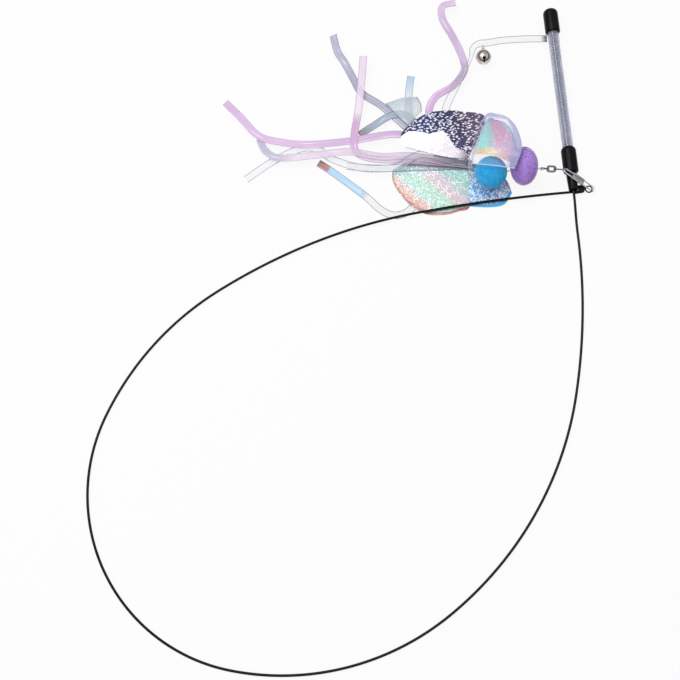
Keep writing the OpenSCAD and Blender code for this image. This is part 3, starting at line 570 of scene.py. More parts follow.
# Half of the plate's section across the snap, from its open edge round the fixed leg
PLATE_SECTION = [(-2.2, 0.55), (-1.6, 0.55), (-0.95, 0.53), (-0.6, 0.2), (0, 0.16), (0.6, 0.2), (0.95, 0.53),
                 (1.6, 0.55), (2.0, 0.42), (2.19, 0.2)]
section = PLATE_SECTION + [(y, -z) for y, z in reversed(PLATE_SECTION)]
deselect()
bpy.ops.mesh.primitive_grid_add(x_subdivisions=20, y_subdivisions=len(section) - 1, size=1)
plate = named("snap_latch_plate")
for v in plate.data.vertices:
    y, z = section[round((v.co.y + 0.5) * (len(section) - 1))]
    v.co = snap_frame @ (Vector((PLATE_MIDDLE + PLATE_LONG * v.co.x, y - HOOK_R, z)) * MM)
modified(plate, "SOLIDIFY", thickness=PLATE_THICK * MM, offset=0)
outwards(40)
settle(plate, plate_steel, "snap", "latch_plate", "snap_plate")


# ------------------------------
# Barrel swivel.
# Two headed wire eyes turn in the ends of a flat pressed frame of darker steel, so that the
# lure can spin without winding up its string.
swivel_steel = marked_finish("dark_swivel_steel", (150, 146, 146), (96, 92, 94), (0.12, 0.3), 700.0, 0.12, 0.03,
                             Metallic=1.0)
dress("swivel_front_eye", "swivel_eye_front", swivel_steel, "swivel_front", "swivel_steel")
dress("swivel_frame", "swivel_barrel_frame", swivel_steel, "swivel_barrel", "swivel_steel")
dress("swivel_rear_eye", "swivel_eye_rear", swivel_steel, "swivel_rear", "swivel_steel")


# ------------------------------
# String.
# A thin cord of three white yarns, looped through the swivel's rear eye, threaded through both
# pompoms, knotted behind the blue one and tied to the bundle of film below.
YARN_R = 0.215 * MM
YARN_OFF = 0.23 * MM
YARN_TURN = 4.2 * MM


def smooth_point(points, t):
    """The point at t on the smooth line through the points, which are counted from 0."""
    i = max(0, min(int(t), len(points) - 2))
    f = t - i
    near = [points[max(i - 1, 0)], points[i], points[i + 1], points[min(i + 2, len(points) - 1)]]
    return [0.5 * (2 * b + (c - a) * f + (2 * a - 5 * b + 4 * c - d) * f * f + (3 * b - a - 3 * c + d) * f ** 3)
            for a, b, c, d in zip(*near)]


TIE = middle_of("tie_band")
TIE.z = 0
PURPLE_AT = middle_of("purple_pompom")
BLUE_AT = middle_of("blue_pompom")
REAR_EYE = Vector((130.381, 99.376, 15.385)) * MM
string_way = (BLUE_AT - REAR_EYE).normalized()
knot_at = BLUE_AT + string_way * 12.5 * MM
tie_knot_at = Vector((82.631, 100.575, 5.8)) * MM
string_start = REAR_EYE + string_way * 1.75 * MM
string_route = [string_start + string_way * s * MM for s in (0, 4, 10, 16, 22, 28, 34, 40)]
string_route += [knot_at - string_way * 0.2 * MM, knot_at + Vector((-0.2, 0.9, -2.2)) * MM,
                 (knot_at * 0.45 + tie_knot_at * 0.55) + Vector((-0.3, 0.2, 0)) * MM, tie_knot_at]
string_points = [Vector(smooth_point(string_route, k / 6)) for k in range(6 * (len(string_route) - 1) + 1)]
twist = bpy.data.curves.new("lure_string", "CURVE")
twist.dimensions = "3D"
twist.bevel_depth = YARN_R
twist.bevel_resolution = 2
twist.use_fill_caps = True
for yarn in range(3):
    line = twist.splines.new("POLY")
    line.points.add(len(string_points) - 1)
    gone = 0
    for k, point in enumerate(string_points):
        before = string_points[max(k - 1, 0)]
        gone += (point - before).length
        ahead = (string_points[min(k + 1, len(string_points) - 1)] - before).normalized()
        side = ahead.cross(Vector((0, 0, 1))).normalized()
        up = side.cross(ahead)
        a = 2 * math.pi * (gone / YARN_TURN + yarn / 3)
        line.points[k].co = (*(point + (side * math.cos(a) + up * math.sin(a)) * YARN_OFF), 1)
string = bpy.data.objects.new("lure_string", twist)
bpy.context.scene.collection.objects.link(string)
take(string)
bpy.ops.object.convert(target="MESH")
string = named("lure_string")
shade(60)
white_yarn = marked_finish("white_string_yarn", (232, 231, 238), (206, 204, 216), (0.7, 0.88), 2400.0, 0.5,
                           0.08, Sheen_Weight=0.3, Sheen_Roughness=0.5)
settle(string, white_yarn, "lure", "white_string", "string")
# A flat open loop and two lumpy knots: radius and thickness in mm, turn, and depth of the folds
LOOP = (0.9, 0.3, (0, 0, 0), 0)
KNOT = (0.62, 0.56, (math.pi / 2, 0.5, 0.9), 0.35)
for name, at, (across, thick, turn, fold) in (("string_loop", REAR_EYE + string_way * 1.25 * MM, LOOP),
                                              ("string_stop_knot", knot_at, KNOT),
                                              ("string_tie_knot", tie_knot_at, KNOT)):
    deselect()
    bpy.ops.mesh.primitive_torus_add(major_radius=across * MM, minor_radius=thick * MM, major_segments=28,
                                     minor_segments=12, location=at, rotation=turn)
    ring = named(name)
    if fold:
        folds = bpy.data.textures.new(name, "CLOUDS")
        folds.noise_scale = 0.9 * MM
        modified(ring, "DISPLACE", texture=folds, texture_coords="LOCAL", strength=fold * MM)
    bpy.ops.object.shade_smooth()
    settle(ring, white_yarn, "lure", "white_string")


# ------------------------------
# Pompoms.
# Two craft pompoms of acrylic fibre, clipped to a ball: thousands of short hairs stand out of a
# dense heart. The purple one in front is flattened along the string, the blue one is round.
HAIR = 0.011


def pompom(name, at, radii, hairs, seed):
    """A dimpled heart and its hairs in one mesh; the attribute tells how far out a point is."""
    chance = random.Random(seed)
    deselect()
    bpy.ops.mesh.primitive_ico_sphere_add(subdivisions=5, radius=1)
    ball = named(name)
    bm = bmesh.new()
    bm.from_mesh(ball.data)
    reach = bm.verts.layers.float.new("reach")
    for v in bm.verts:
        v.co *= 0.89 + 0.05 * chance.random()
        v[reach] = 0.25
    for k in range(hairs):
        height = 1 - 2 * (k + 0.5) / hairs
        round_it = k * math.pi * (3 - math.sqrt(5)) + 0.25 * chance.random()
        flat = math.sqrt(max(0, 1 - height * height))
        root = Vector((flat * math.cos(round_it), flat * math.sin(round_it), height))
        lean = Vector([chance.uniform(-0.2, 0.2) for _ in range(3)])
        tip = (root + lean).normalized() * (0.99 - 0.05 * chance.random() ** 2)
        side = root.cross(tip + Vector((0.013, 0.021, 0.017))).normalized()
        other = root.cross(side)
        rings = []
        for share, wide in ((0.0, 1.0), (0.6, 0.85), (1.0, 0.3)):
            middle = (root * 0.88).lerp(tip, share)
            ring = []
            for corner in range(3):
                a = 2 * math.pi * corner / 3
                v = bm.verts.new(middle + (side * math.cos(a) + other * math.sin(a)) * HAIR * wide)
                v[reach] = 0.3 + 0.7 * share
                ring.append(v)
            rings.append(ring)
        for low, high in zip(rings, rings[1:]):
            for corner in range(3):
                nxt = (corner + 1) % 3
                bm.faces.new((low[corner], low[nxt], high[nxt], high[corner]))
    for v in bm.verts:
        v.co = at + Vector((v.co.x * radii[0], v.co.y * radii[1], v.co.z * radii[2]))
    bm.to_mesh(ball.data)
    bm.free()
    bpy.ops.object.shade_smooth()
    return ball


def ramp(tree, factor, stops):
    """Colours that run into each other along a factor; a stop is its place and its colour."""
    node = tree.nodes.new("ShaderNodeValToRGB")
    elements = node.color_ramp.elements
    for k, (at, colour) in enumerate([stops[0], stops[-1], *stops[1:-1]]):
        stop = elements[k] if k < 2 else elements.new(at)
        stop.position = at
        stop.color = colour
    feed(node.inputs["Fac"], factor)
    return node.outputs


def fluff(name, shaded_root, mid, light):
    """Dyed acrylic, uneven in patches, with painted shade between the hairs that pales towards their clipped
    ends.
    """
    finish, tree, shader = finish_named(name, Sheen_Weight=0.6, Sheen_Roughness=0.4, Sheen_Tint=light,
                                        Specular_IOR_Level=0.25)
    out = put(tree, "ShaderNodeAttribute", attribute_name="reach")["Fac"]
    patches = noise(tree, place_on(tree), 260, 3)
    paler = math_node(tree, "ADD", out, math_node(tree, "MULTIPLY_ADD", patches, 0.5, -0.25))
    # Painted shade: the colour deepens from the hair tips in towards the heart, where the hairs shade each other
    fill(shader, Base_Color=ramp(tree, paler, [(0.1, shaded_root), (0.6, mid), (0.95, light)])["Color"],
         Roughness=math_node(tree, "MULTIPLY_ADD", patches, 0.2, 0.75))
    return finish


purple_fluff = fluff("purple_acrylic_fluff", tint(164, 110, 226), tint(216, 174, 252), tint(240, 214, 255))
blue_fluff = fluff("blue_acrylic_fluff", tint(6, 162, 255), tint(40, 210, 255), tint(130, 238, 255))
purple_ball = pompom("purple_pompom_fluff", PURPLE_AT, (9.5 * MM, 13.3 * MM, 13.3 * MM), 6500, 11)
settle(purple_ball, purple_fluff, "lure", "purple_fluff", "purple_pompom")
blue_ball = pompom("blue_pompom_fluff", BLUE_AT, (11 * MM, 11 * MM, 11 * MM), 6000, 12)
settle(blue_ball, blue_fluff, "lure", "blue_fluff", "blue_pompom")


# ------------------------------
# Tie band.
# A clear elastic band gathers the ends of all the films into one flat stack, just behind the
# blue pompom.
clear_band = marked_finish("clear_elastic_band", (236, 234, 242), (218, 216, 228), (0.3, 0.46), 500.0, 0.1,
                           0.05, Alpha=0.22, Specular_IOR_Level=0.2)
dress("tie_band", "film_tie_band", clear_band, "lure", "clear_band")


# ------------------------------
# Petals of holographic foil.
# Plastic film 0.2 mm thick, pressed with fine dots that break the light into colours, cut to
# leaf shapes and gathered under the tie; from the lowest up they are copper, aqua, blue and navy.
FILM = 0.2 * MM
STEP = 0.3 * MM
LOWEST = 2.2 * MM
PETAL = 50 * MM
# Rows of points across each petal, from one end to the other; a 1 is PETAL away from the tie
AQUA = [
    [[0.03, 0.04, 0], [0.03, 0, 0], [0.03, -0.035, 0]],
    [[-0.07, 0.04, 0], [-0.03, -0.02, 0], [0.0, -0.07, -0.004]],
    [[-0.2, 0.03, 0], [-0.1, -0.3, -0.02], [0.01, -0.52, -0.036]],
    [[-0.36, 0.03, 0], [-0.32, -0.3, -0.024], [-0.14, -0.6, -0.036]],
    [[-0.52, 0.04, 0], [-0.5, -0.3, -0.024], [-0.32, -0.65, -0.036]],
    [[-0.7, 0.06, 0], [-0.66, -0.28, -0.022], [-0.56, -0.64, -0.036]],
    [[-0.87, 0.02, 0], [-0.84, -0.22, -0.016], [-0.78, -0.5, -0.032]],
    [[-0.99, -0.05, 0], [-0.99, -0.15, -0.01], [-0.95, -0.27, -0.02]]]
BLUE = [
    [[-0.02, -0.05, 0], [-0.02, -0.02, 0], [-0.02, 0.01, 0], [-0.02, 0.04, 0]],
    [[0.0, -0.08, 0], [0.04, -0.03, 0], [0.06, 0.01, 0], [0.065, 0.04, 0]],
    [[-0.01, -0.26, -0.013], [0.14, -0.24, -0.016], [0.24, -0.18, -0.012], [0.32, -0.05, -0.006]],
    [[-0.02, -0.42, -0.026], [0.18, -0.42, -0.03], [0.36, -0.34, -0.026], [0.5, -0.2, -0.02]],
    [[-0.02, -0.57, -0.036], [0.25, -0.58, -0.044], [0.46, -0.54, -0.043], [0.57, -0.38, -0.034]]]
NAVY = [
    [[-0.055, 0.06, 0], [-0.055, 0.01, 0], [-0.055, -0.04, 0]],
    [[0.23, 0.65, 0.01], [0.03, 0.26, 0.04], [-0.08, 0.05, 0.02]],
    [[-0.1, 0.76, 0.01], [-0.2, 0.36, 0.06], [-0.28, 0.08, 0.02]],
    [[-0.34, 0.77, 0.01], [-0.38, 0.4, 0.07], [-0.44, 0.11, 0.02]],
    [[-0.6, 0.72, 0.01], [-0.62, 0.42, 0.07], [-0.62, 0.16, 0.02]],
    [[-0.86, 0.52, 0.01], [-0.84, 0.42, 0.04], [-0.84, 0.22, 0.02]],
    [[-0.95, 0.38, 0.01], [-0.955, 0.33, 0.02], [-0.95, 0.27, 0.02]]]
WHITE = tint(250, 250, 255)


def cut_film(name, across, along, place):
    """A sheet of film: a grid that place(u, v) lays out, given its thickness, and its area."""
    deselect()
    bpy.ops.mesh.primitive_grid_add(x_subdivisions=across, y_subdivisions=along, size=1, calc_uvs=True)
    film = named(name)
    for v in film.data.vertices:
        v.co = place(v.co.x + 0.5, v.co.y + 0.5)
    area = sum(f.area for f in film.data.polygons)
    modified(film, "SOLIDIFY", thickness=FILM, offset=0, use_even_offset=False)
    outwards(50)
    return film, area


def over_tie(step, scale, x, y, z):
    """The point x, y and z from the tie of a film that lies at this step of the stack."""
    return TIE + Vector((x, y, z)) * scale + Vector((0, 0, LOWEST + step * STEP))


def petal(name, rows, step, finish, body, slot, shift=(0, 0, 0), along=60, reach=1.0):
    """Cuts a petal, lays it on what carries it and lets it stand for its CAD film."""
    def place(u, v):
        columns = [smooth_point(column, v * (len(rows) - 1)) for column in zip(*rows)]
        x, y, z = smooth_point(columns, u * (len(columns) - 1))
        return over_tie(step, PETAL, x * reach + shift[0], y + shift[1], z + shift[2])
    film, area = cut_film(name, 24, along, place)
    settle(film, finish, body, slot, name.replace("petal", "film"))


def zones(tree, factor, *stops):
    """A ramp whose stops are given as place, red, green and blue, and how solid if not quite."""
    return ramp(tree, factor, [(at, tint(*colour)) for at, *colour in stops])


def film_axes(tree):
    """How far across and how far along the film a point is, from 0 to 1."""
    parts = put(tree, "ShaderNodeSeparateXYZ", put(tree, "ShaderNodeUVMap", uv_map="UVMap")["UV"])
    return parts["X"], parts["Y"]


# Pressed dots: each cell of the foil leans its own way and breaks the light into its own colour
pressed_dots, given, made = group_named(
    "pressed_dots",
    dict(Place=VECTOR, Dots_In_A_Metre=NUMBER, Ground=COLOUR, First_Dot=COLOUR, Second_Dot=COLOUR,
         Third_Dot=COLOUR, Dot_Width=NUMBER, Share=NUMBER, Lean=NUMBER),
    dict(Colour=COLOUR, Normal=VECTOR, Roughness=NUMBER))
tree = pressed_dots
cells = put(tree, "ShaderNodeTexVoronoi", feature="F1", Vector=given["Place"], Scale=given["Dots In A Metre"])
red, green, blue = put(tree, "ShaderNodeSeparateColor", cells["Color"])
two_dots = mix_node(tree, math_node(tree, "GREATER_THAN", red, 0.42), given["First Dot"], given["Second Dot"])
dots = mix_node(tree, math_node(tree, "GREATER_THAN", green, 0.7), two_dots, given["Third Dot"])
inside = math_node(tree, "SUBTRACT", given["Dot Width"], cells["Distance"])
on_dot = math_node(tree, "MULTIPLY", rise(tree, inside, -0.06, 0.1),
                   math_node(tree, "LESS_THAN", blue, given["Share"]))
lean = vector_node(tree, "SUBTRACT", cells["Color"], (0.5, 0.5, 0.5))[0]
lean = vector_node(tree, "SCALE", lean, Scale=given["Lean"])[0]
facing = vector_node(tree, "ADD", put(tree, "ShaderNodeNewGeometry")["Normal"], lean)[0]
facing = vector_node(tree, "NORMALIZE", facing)[0]
fill(made, Colour=mix_node(tree, on_dot, given["Ground"], dots), Normal=facing,
     Roughness=math_node(tree, "MULTIPLY_ADD", red, 0.25, 0.22))


def dotted(tree, shader, ground, dots, across, width, share, lean, turn=0.0, stretch=(1, 1, 1)):
    """Dots over a ground, turned and drawn out one way where asked; gives their colour."""
    at = put(tree, "ShaderNodeMapping", Vector=place_on(tree), Rotation=(0, 0, math.radians(turn)),
             Scale=stretch)["Vector"]
    pressed = put(tree, "ShaderNodeGroup", node_tree=pressed_dots, Place=at, Dots_In_A_Metre=across,
                  Ground=ground, First_Dot=dots[0], Second_Dot=dots[1], Third_Dot=dots[2], Dot_Width=width,
                  Share=share, Lean=lean)
    fill(shader, Normal=pressed["Normal"], Roughness=pressed["Roughness"])
    return pressed["Colour"]


def drift(tree, size, amount):
    """Slow change over the film, about nought, in which its colours run into each other."""
    return math_node(tree, "MULTIPLY_ADD", noise(tree, place_on(tree), size, 2.0), amount, -amount / 2)


# Copper: the dull back of a foil, seen as a rim round the aqua petal
copper_foil, tree, shader = finish_named("copper_foil_back", Metallic=0.35, Coat_Weight=0.2, Coat_Roughness=0.2)
u, v = film_axes(tree)
ground = zones(tree, math_node(tree, "ADD", v, drift(tree, 60, 0.5)), (0, 150, 88, 84), (0.35, 176, 112, 104),
               (0.7, 190, 150, 150), (1, 182, 140, 132))["Color"]
fill(shader, Base_Color=dotted(tree, shader, ground, (tint(206, 160, 150), tint(160, 110, 110),
                                                      tint(225, 205, 205)), 1300.0, 0.3, 0.5, 0.25))
petal("petal_copper", AQUA, 1, copper_foil, "lure", "copper_foil",
      shift=(-0.012, -0.035, -0.005), reach=1.05)

# Aqua: the broad lower petal, from salmon at its tip over aqua and mint to a pink band at the tie
AQUA_WAY = Vector((0.66, 0.75, 0))
aqua_foil, tree, shader = finish_named("aqua_dotted_foil", Metallic=0.25, Coat_Weight=0.3, Coat_Roughness=0.12)
u, v = film_axes(tree)
along_it = vector_node(tree, "DOT_PRODUCT", place_on(tree), AQUA_WAY)["Value"]
tie_at = TIE.dot(AQUA_WAY)
run = math_node(tree, "ADD", rise(tree, along_it, tie_at - 50 * MM, tie_at - 5 * MM, "LINEAR"),
                drift(tree, 90, 0.16))
ground = zones(tree, run, (0.04, 206, 150, 142), (0.15, 226, 178, 166), (0.23, 224, 204, 196),
               (0.28, 192, 226, 226), (0.35, 190, 228, 208), (0.47, 190, 226, 208), (0.56, 222, 198, 202),
               (0.68, 212, 196, 208), (0.8, 160, 206, 198), (1, 172, 210, 208))["Color"]
corner = math_node(tree, "MULTIPLY", rise(tree, u, 0.4, 0.15), rise(tree, v, 0.42, 0.6))
ground = mix_node(tree, math_node(tree, "MULTIPLY", corner, 0.7), ground, tint(196, 230, 242))
fill(shader, Base_Color=dotted(tree, shader, ground, (tint(252, 254, 254), tint(130, 200, 192),
                                                      tint(228, 178, 194)), 1350.0, 0.4, 0.85, 0.2))
petal("petal_aqua", AQUA, 2, aqua_foil, "lure", "aqua_foil", reach=1.05)

# Blue: the small petal below the blue pompom, with a plain bright edge
blue_foil, tree, shader = finish_named("blue_dotted_foil", Metallic=0.25, Coat_Weight=0.3, Coat_Roughness=0.12)
u, v = film_axes(tree)
ground = zones(tree, math_node(tree, "ADD", u, drift(tree, 90, 0.3)), (0, 140, 204, 234), (0.35, 98, 174, 222),
               (0.72, 122, 190, 230), (1, 214, 232, 246))["Color"]
dots = dotted(tree, shader, ground, (WHITE, tint(240, 246, 255), tint(156, 136, 206)), 950.0, 0.56, 0.92, 0.12)
fill(shader, Base_Color=mix_node(tree, rise(tree, v, 0.9, 0.93), dots, tint(70, 170, 226)))
petal("petal_blue", BLUE, 3, blue_foil, "lure", "blue_foil")

# Navy: the upper petal, folded along its middle; the fold's far side shows dots, the near side is a painted
# white reflection, with painted shade as a dark fading corner at the tie
navy_foil, tree, shader = finish_named("navy_dotted_foil", Metallic=0.25, Coat_Weight=0.35, Coat_Roughness=0.1)
u, v = film_axes(tree)
slow = drift(tree, 80, 0.24)
run = math_node(tree, "ADD", math_node(tree, "MULTIPLY_ADD", u, 0.25, v), slow)
ground = zones(tree, run, (0, 88, 80, 108), (0.3, 78, 66, 96), (0.4, 44, 38, 80), (0.5, 22, 26, 82),
               (0.76, 18, 32, 104), (1, 18, 24, 72))["Color"]
lighter = mix_node(tree, rise(tree, v, 0.5, 0.34), tint(236, 240, 250), tint(244, 222, 230))
dots = dotted(tree, shader, ground, (WHITE, lighter, tint(64, 62, 118)), 950.0, 0.49, 0.88, 0.2, 32.0,
              (0.55, 1.0, 1.0))
# Painted shade at the tie, fading into a painted white reflection over the fold's near side
painted_shade_and_reflection = zones(tree, math_node(tree, "ADD", v, slow), (0, 92, 84, 106), (0.16, 128, 116, 136),
              (0.3, 236, 226, 238), (0.5, 250, 246, 250), (1, 238, 238, 243))["Color"]
painted_shade_and_reflection = mix_node(tree, rise(tree, u, 0.965, 0.98), painted_shade_and_reflection, tint(150, 152, 160))
fold_at = ramp(tree, v, [(at, (share, share, share, 1)) for at, share in (
    (0.0, 0.8), (0.28, 0.72), (0.5, 0.42), (0.62, 0.52), (0.85, 0.4), (1.0, 0.3))])["Color"]
fill(shader, Base_Color=mix_node(tree, math_node(tree, "GREATER_THAN", u, fold_at), dots, painted_shade_and_reflection))
petal("petal_navy", NAVY, 15, navy_foil, "navy_petal", "navy_foil")


# ------------------------------
# Teal and lavender petals.
# The two topmost films stand up beside the blue pompom: a foil sector in teal and pink, and
# over it a crescent of clear lavender film that leans across both pompoms.
TEAL = [
    [[-0.01, 0.07, 0], [0.01, 0.05, 0], [0.03, 0.02, 0], [0.04, -0.01, 0]],
    [[0.22, 0.56, 0.12], [0.15, 0.38, 0.15], [0.08, 0.2, 0.19], [0.03, 0.03, 0.22]],
    [[0.34, 0.54, 0.2], [0.32, 0.36, 0.28], [0.29, 0.19, 0.33], [0.25, -0.03, 0.36]],
    [[0.45, 0.48, 0.26], [0.53, 0.32, 0.33], [0.58, 0.08, 0.38], [0.57, -0.18, 0.39]]]
LAVENDER = [
    [[-0.03, 0.05, 0.02], [-0.02, 0.01, 0.022], [-0.005, -0.03, 0.026], [0.005, -0.07, 0.03]],
    [[0.18, 0.59, 0.18], [0.08, 0.34, 0.27], [0, 0.1, 0.36], [-0.02, -0.16, 0.37]],
    [[0.36, 0.61, 0.24], [0.36, 0.38, 0.33], [0.3, 0.1, 0.4], [0.26, -0.2, 0.41]],
    [[0.49, 0.54, 0.28], [0.59, 0.36, 0.35], [0.64, 0.06, 0.4], [0.53, -0.24, 0.41]]]
teal_foil, tree, shader = finish_named("teal_pink_foil", Metallic=0.2, Coat_Weight=0.35, Coat_Roughness=0.1)
u, v = film_axes(tree)
run = math_node(tree, "ADD", math_node(tree, "MULTIPLY_ADD", u, -0.25, v), drift(tree, 110, 0.2))
ground = zones(tree, run, (0, 180, 250, 236), (0.34, 170, 248, 232), (0.46, 196, 214, 214),
               (0.56, 236, 170, 198), (0.76, 228, 178, 208), (0.88, 186, 230, 226), (1, 176, 226, 222))["Color"]
dots = dotted(tree, shader, ground, (tint(252, 252, 255), tint(236, 132, 176), tint(116, 214, 204)), 1150.0,
              0.42, 0.85, 0.2)
smooth_mint = rise(tree, v, 0.62, 0.5)
dots = mix_node(tree, smooth_mint, dots, ground)
warm = math_node(tree, "MULTIPLY", rise(tree, u, 0.82, 0.86), rise(tree, v, 0.9, 0.66))
dots = mix_node(tree, warm, dots, tint(255, 226, 168))
cut_side = rise(tree, v, 0.35, 0.31)
fill(shader, Base_Color=mix_node(tree, cut_side, dots, WHITE))
petal("petal_teal", TEAL, 19, teal_foil, "lure", "teal_foil", along=36)

# Film edges: clear film shows least in its middle and most along its cut edges, with faint
# lengthwise streaks where it was stretched, which also carry a painted sheen
film_edges, given, made = group_named(
    "film_edges",
    dict(Across=NUMBER, Streak=NUMBER, Colour=COLOUR, Solid=NUMBER, Edge_Colour=COLOUR, Edge_Width=NUMBER,
         Edge_Solid=NUMBER),
    dict(Colour=COLOUR, Alpha=NUMBER))
tree = film_edges
from_middle = math_node(tree, "ABSOLUTE", math_node(tree, "SUBTRACT", given["Across"], 0.5))
to_edge = math_node(tree, "SUBTRACT", 0.5, from_middle)
edge = rise(tree, math_node(tree, "DIVIDE", to_edge, given["Edge Width"]), 1.0, 0.6)
streak = rise(tree, given["Streak"], 0.52, 0.72)
# Painted sheen: the streaks are lightened towards a near white
lit = mix_node(tree, math_node(tree, "MULTIPLY", streak, 0.7), given["Colour"], (0.93, 0.95, 1.0, 1))
solid = math_node(tree, "MULTIPLY_ADD", streak, 0.12, given["Solid"])
more = math_node(tree, "MAXIMUM", math_node(tree, "SUBTRACT", given["Edge Solid"], solid), 0.0)
fill(made, Colour=mix_node(tree, edge, lit, given["Edge Colour"]),
     Alpha=math_node(tree, "MINIMUM", math_node(tree, "MULTIPLY_ADD", edge, more, solid), 1.0))


def film_finish(name, stops, edge_colour, edge_solid=0.8, edge_width=0.09, streaks=(4.0, 7.0), side=0.0):
    """Clear or tinted film in colour zones along its length, or from its first side inwards."""
    finish, tree, shader = finish_named(name, Roughness=0.32, Specular_IOR_Level=0.35, Coat_Weight=0.1,
                                        Coat_Roughness=0.2)
    u, v = film_axes(tree)
    run = math_node(tree, "MAXIMUM", v, math_node(tree, "MULTIPLY_ADD", u, -0.9, side)) if side else v
    zone = zones(tree, run, *stops)
    stretched = put(tree, "ShaderNodeCombineXYZ", math_node(tree, "MULTIPLY", u, streaks[0]),
                    math_node(tree, "MULTIPLY", v, streaks[1]))[0]
    streak = noise(tree, stretched, 1.0, 3.0)
    film = put(tree, "ShaderNodeGroup", node_tree=film_edges, Across=u, Streak=streak, Colour=zone["Color"],
               Solid=zone["Alpha"], Edge_Colour=tint(*edge_colour), Edge_Width=edge_width,
               Edge_Solid=edge_solid)
    fill(shader, Base_Color=film["Colour"], Alpha=film["Alpha"], Normal=bump(tree, streak, 0.04, 0.1))
    return finish


lavender_film = film_finish(
    "clear_lavender_film",
    [(0, 206, 208, 238, 0.05), (0.82, 190, 192, 236, 0.12), (0.9, 182, 182, 224, 0.55),
     (1, 178, 178, 220, 0.7)], (214, 216, 240), 0.75, 0.03, (3.0, 2.0), side=0.98)
petal("petal_lavender", LAVENDER, 19, lavender_film, "lavender_petal", "lavender_film",
      along=36)


# ------------------------------
# Ribbons.
# Narrow strips of thin plastic film, 5.2 mm wide, most of them clear, some pink or grey; all
# are caught by one end in the tie and lie where they fell.
REACH = 100 * MM
HALF = 2.6 * MM
CLEAR = (214, 220, 230)
OUTLINE = (160, 164, 174)
PINK_EDGE = (196, 160, 206)
# Painted shade: the pink ribbons darken to these colours towards the tie, where the navy petal lies over them
SHADED = (62, 54, 68)
HALF_SHADED = (80, 66, 84)


def punch_hole(strip):
    """The hole near a strip's end that the bell's split ring goes through."""
    low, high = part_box("bell_ring")
    bpy.ops.mesh.primitive_cylinder_add(vertices=32, radius=0.6 * MM, depth=6 * MM, location=(
        (low.x + high.x) / 2, high.y - 0.25 * MM, high.z - 1.5 * MM))
    punch = named("punch")
    take(strip)
    modified(strip, "BOOLEAN", operation="DIFFERENCE", object=punch)
    bpy.data.objects.remove(punch)


def ribbon(key, step, slot, finish, *rows):
    """A strip whose middle follows its rows to the tie; a row is x and y, then z and the degrees
    that the strip leans over, where these aren't 0. A 1 is REACH away from the tie."""
    rows = [(*row, 0, 0)[:4] for row in rows] + [(0.015, 0, 0, 0)]
    last = len(rows) - 1

    def middle(t):
        *p, bank = smooth_point(rows, max(0, min(t, last)))
        return over_tie(step, REACH, *p), math.radians(bank)

    def place(u, v):
        at, bank = middle(v * last)
        back = middle(v * last - 1 / 3)[0] - middle(v * last + 1 / 3)[0]
        flat = Vector((back.y, -back.x, 0)).normalized()
        side = flat * math.cos(bank) + Vector((0, 0, math.sin(bank)))
        return at + side * HALF * (1 - 2 * u)
    strip = cut_film(f"strip_{key}", 4, last * 8, place)[0]
    if key == "bell":
        punch_hole(strip)
    settle(strip, finish, "lure", slot, f"ribbon_{key}")


clear_film = film_finish("clear_ribbon_film", [(0, *CLEAR, 0.12), (0.5, *CLEAR, 0.12), (1, *CLEAR, 0.1)],
                         OUTLINE, 0.75, 0.1)
ribbon("two_tone", -1, "two_tone_film", film_finish(
    "brown_blue_film",
    [(0, 172, 122, 116), (0.105, 176, 128, 122), (0.115, 174, 214, 246), (0.235, 186, 222, 248),
     (0.265, *CLEAR, 0.16), (1, *CLEAR, 0.12)], (150, 152, 162), 0.75, 0.1),
    (-1.03, 0.03, -0.012), (-0.94, -0.03, -0.013), (-0.72, -0.2, -0.015), (-0.6, -0.31, -0.0155),
    (-0.5, -0.345, -0.0155), (-0.4, -0.3, -0.0155), (-0.25, -0.14, -0.0135), (-0.1, -0.02, -0.004))
ribbon("curl", 4, "clear_film", clear_film,
       (-1.52, -0.1), (-1.34, 0.03), (-1.16, 0.12), (-1.04, 0.12), (-0.92, 0.04), (-0.7, -0.02), (-0.4, -0.01),
       (-0.1, 0))
ribbon("grey", 5, "grey_film", film_finish(
    "grey_violet_film", [(0, 170, 170, 196), (0.55, 184, 186, 208, 0.8), (1, 196, 200, 214, 0.5)],
    (126, 126, 148)),
    (-0.93, 0.96, 0.02, 20), (-0.9, 0.84, 0.01, 20), (-0.85, 0.76, 0, 10), (-0.79, 0.64), (-0.73, 0.53),
    (-0.6, 0.44), (-0.46, 0.31), (-0.3, 0.15), (-0.1, 0.02))
ribbon("smoke", 6, "smoke_film", film_finish(
    "smoke_blue_film",
    [(0, 140, 120, 118, 0.9), (0.15, 165, 185, 205, 0.85), (0.6, 190, 205, 218, 0.7), (1, 190, 206, 216, 0.5)],
    (118, 132, 150)),
    (-0.75, 0.22), (-0.65, 0.29), (-0.54, 0.36), (-0.44, 0.37), (-0.35, 0.29), (-0.22, 0.12), (-0.1, 0.02))
ribbon("short", 7, "pale_blue_film", film_finish(
    "pale_blue_film", [(0, 176, 214, 240, 0.8), (0.2, 206, 224, 238, 0.4), (1, *CLEAR, 0.25)], OUTLINE),
    (-0.39, 0.65, 0.012), (-0.405, 0.55), (-0.41, 0.44), (-0.39, 0.31), (-0.27, 0.13), (-0.1, 0.02))
ribbon("pink_top", 9, "pink_film", film_finish(
    "pink_film_top",
    [(0, 230, 200, 232), (0.16, 194, 172, 206), (0.45, 196, 170, 206), (0.62, 216, 176, 220),
     (1, 218, 184, 222)], PINK_EDGE, 1),
    (-0.07, 1.2, 0.02, 10), (-0.16, 1.18, 0.01, 10), (-0.165, 1.09, 0, 20), (-0.1, 0.96, 0, 30),
    (-0.04, 0.82, 0, 20), (-0.02, 0.7), (-0.1, 0.58), (-0.23, 0.49), (-0.27, 0.35), (-0.19, 0.14), (-0.1, 0.02))
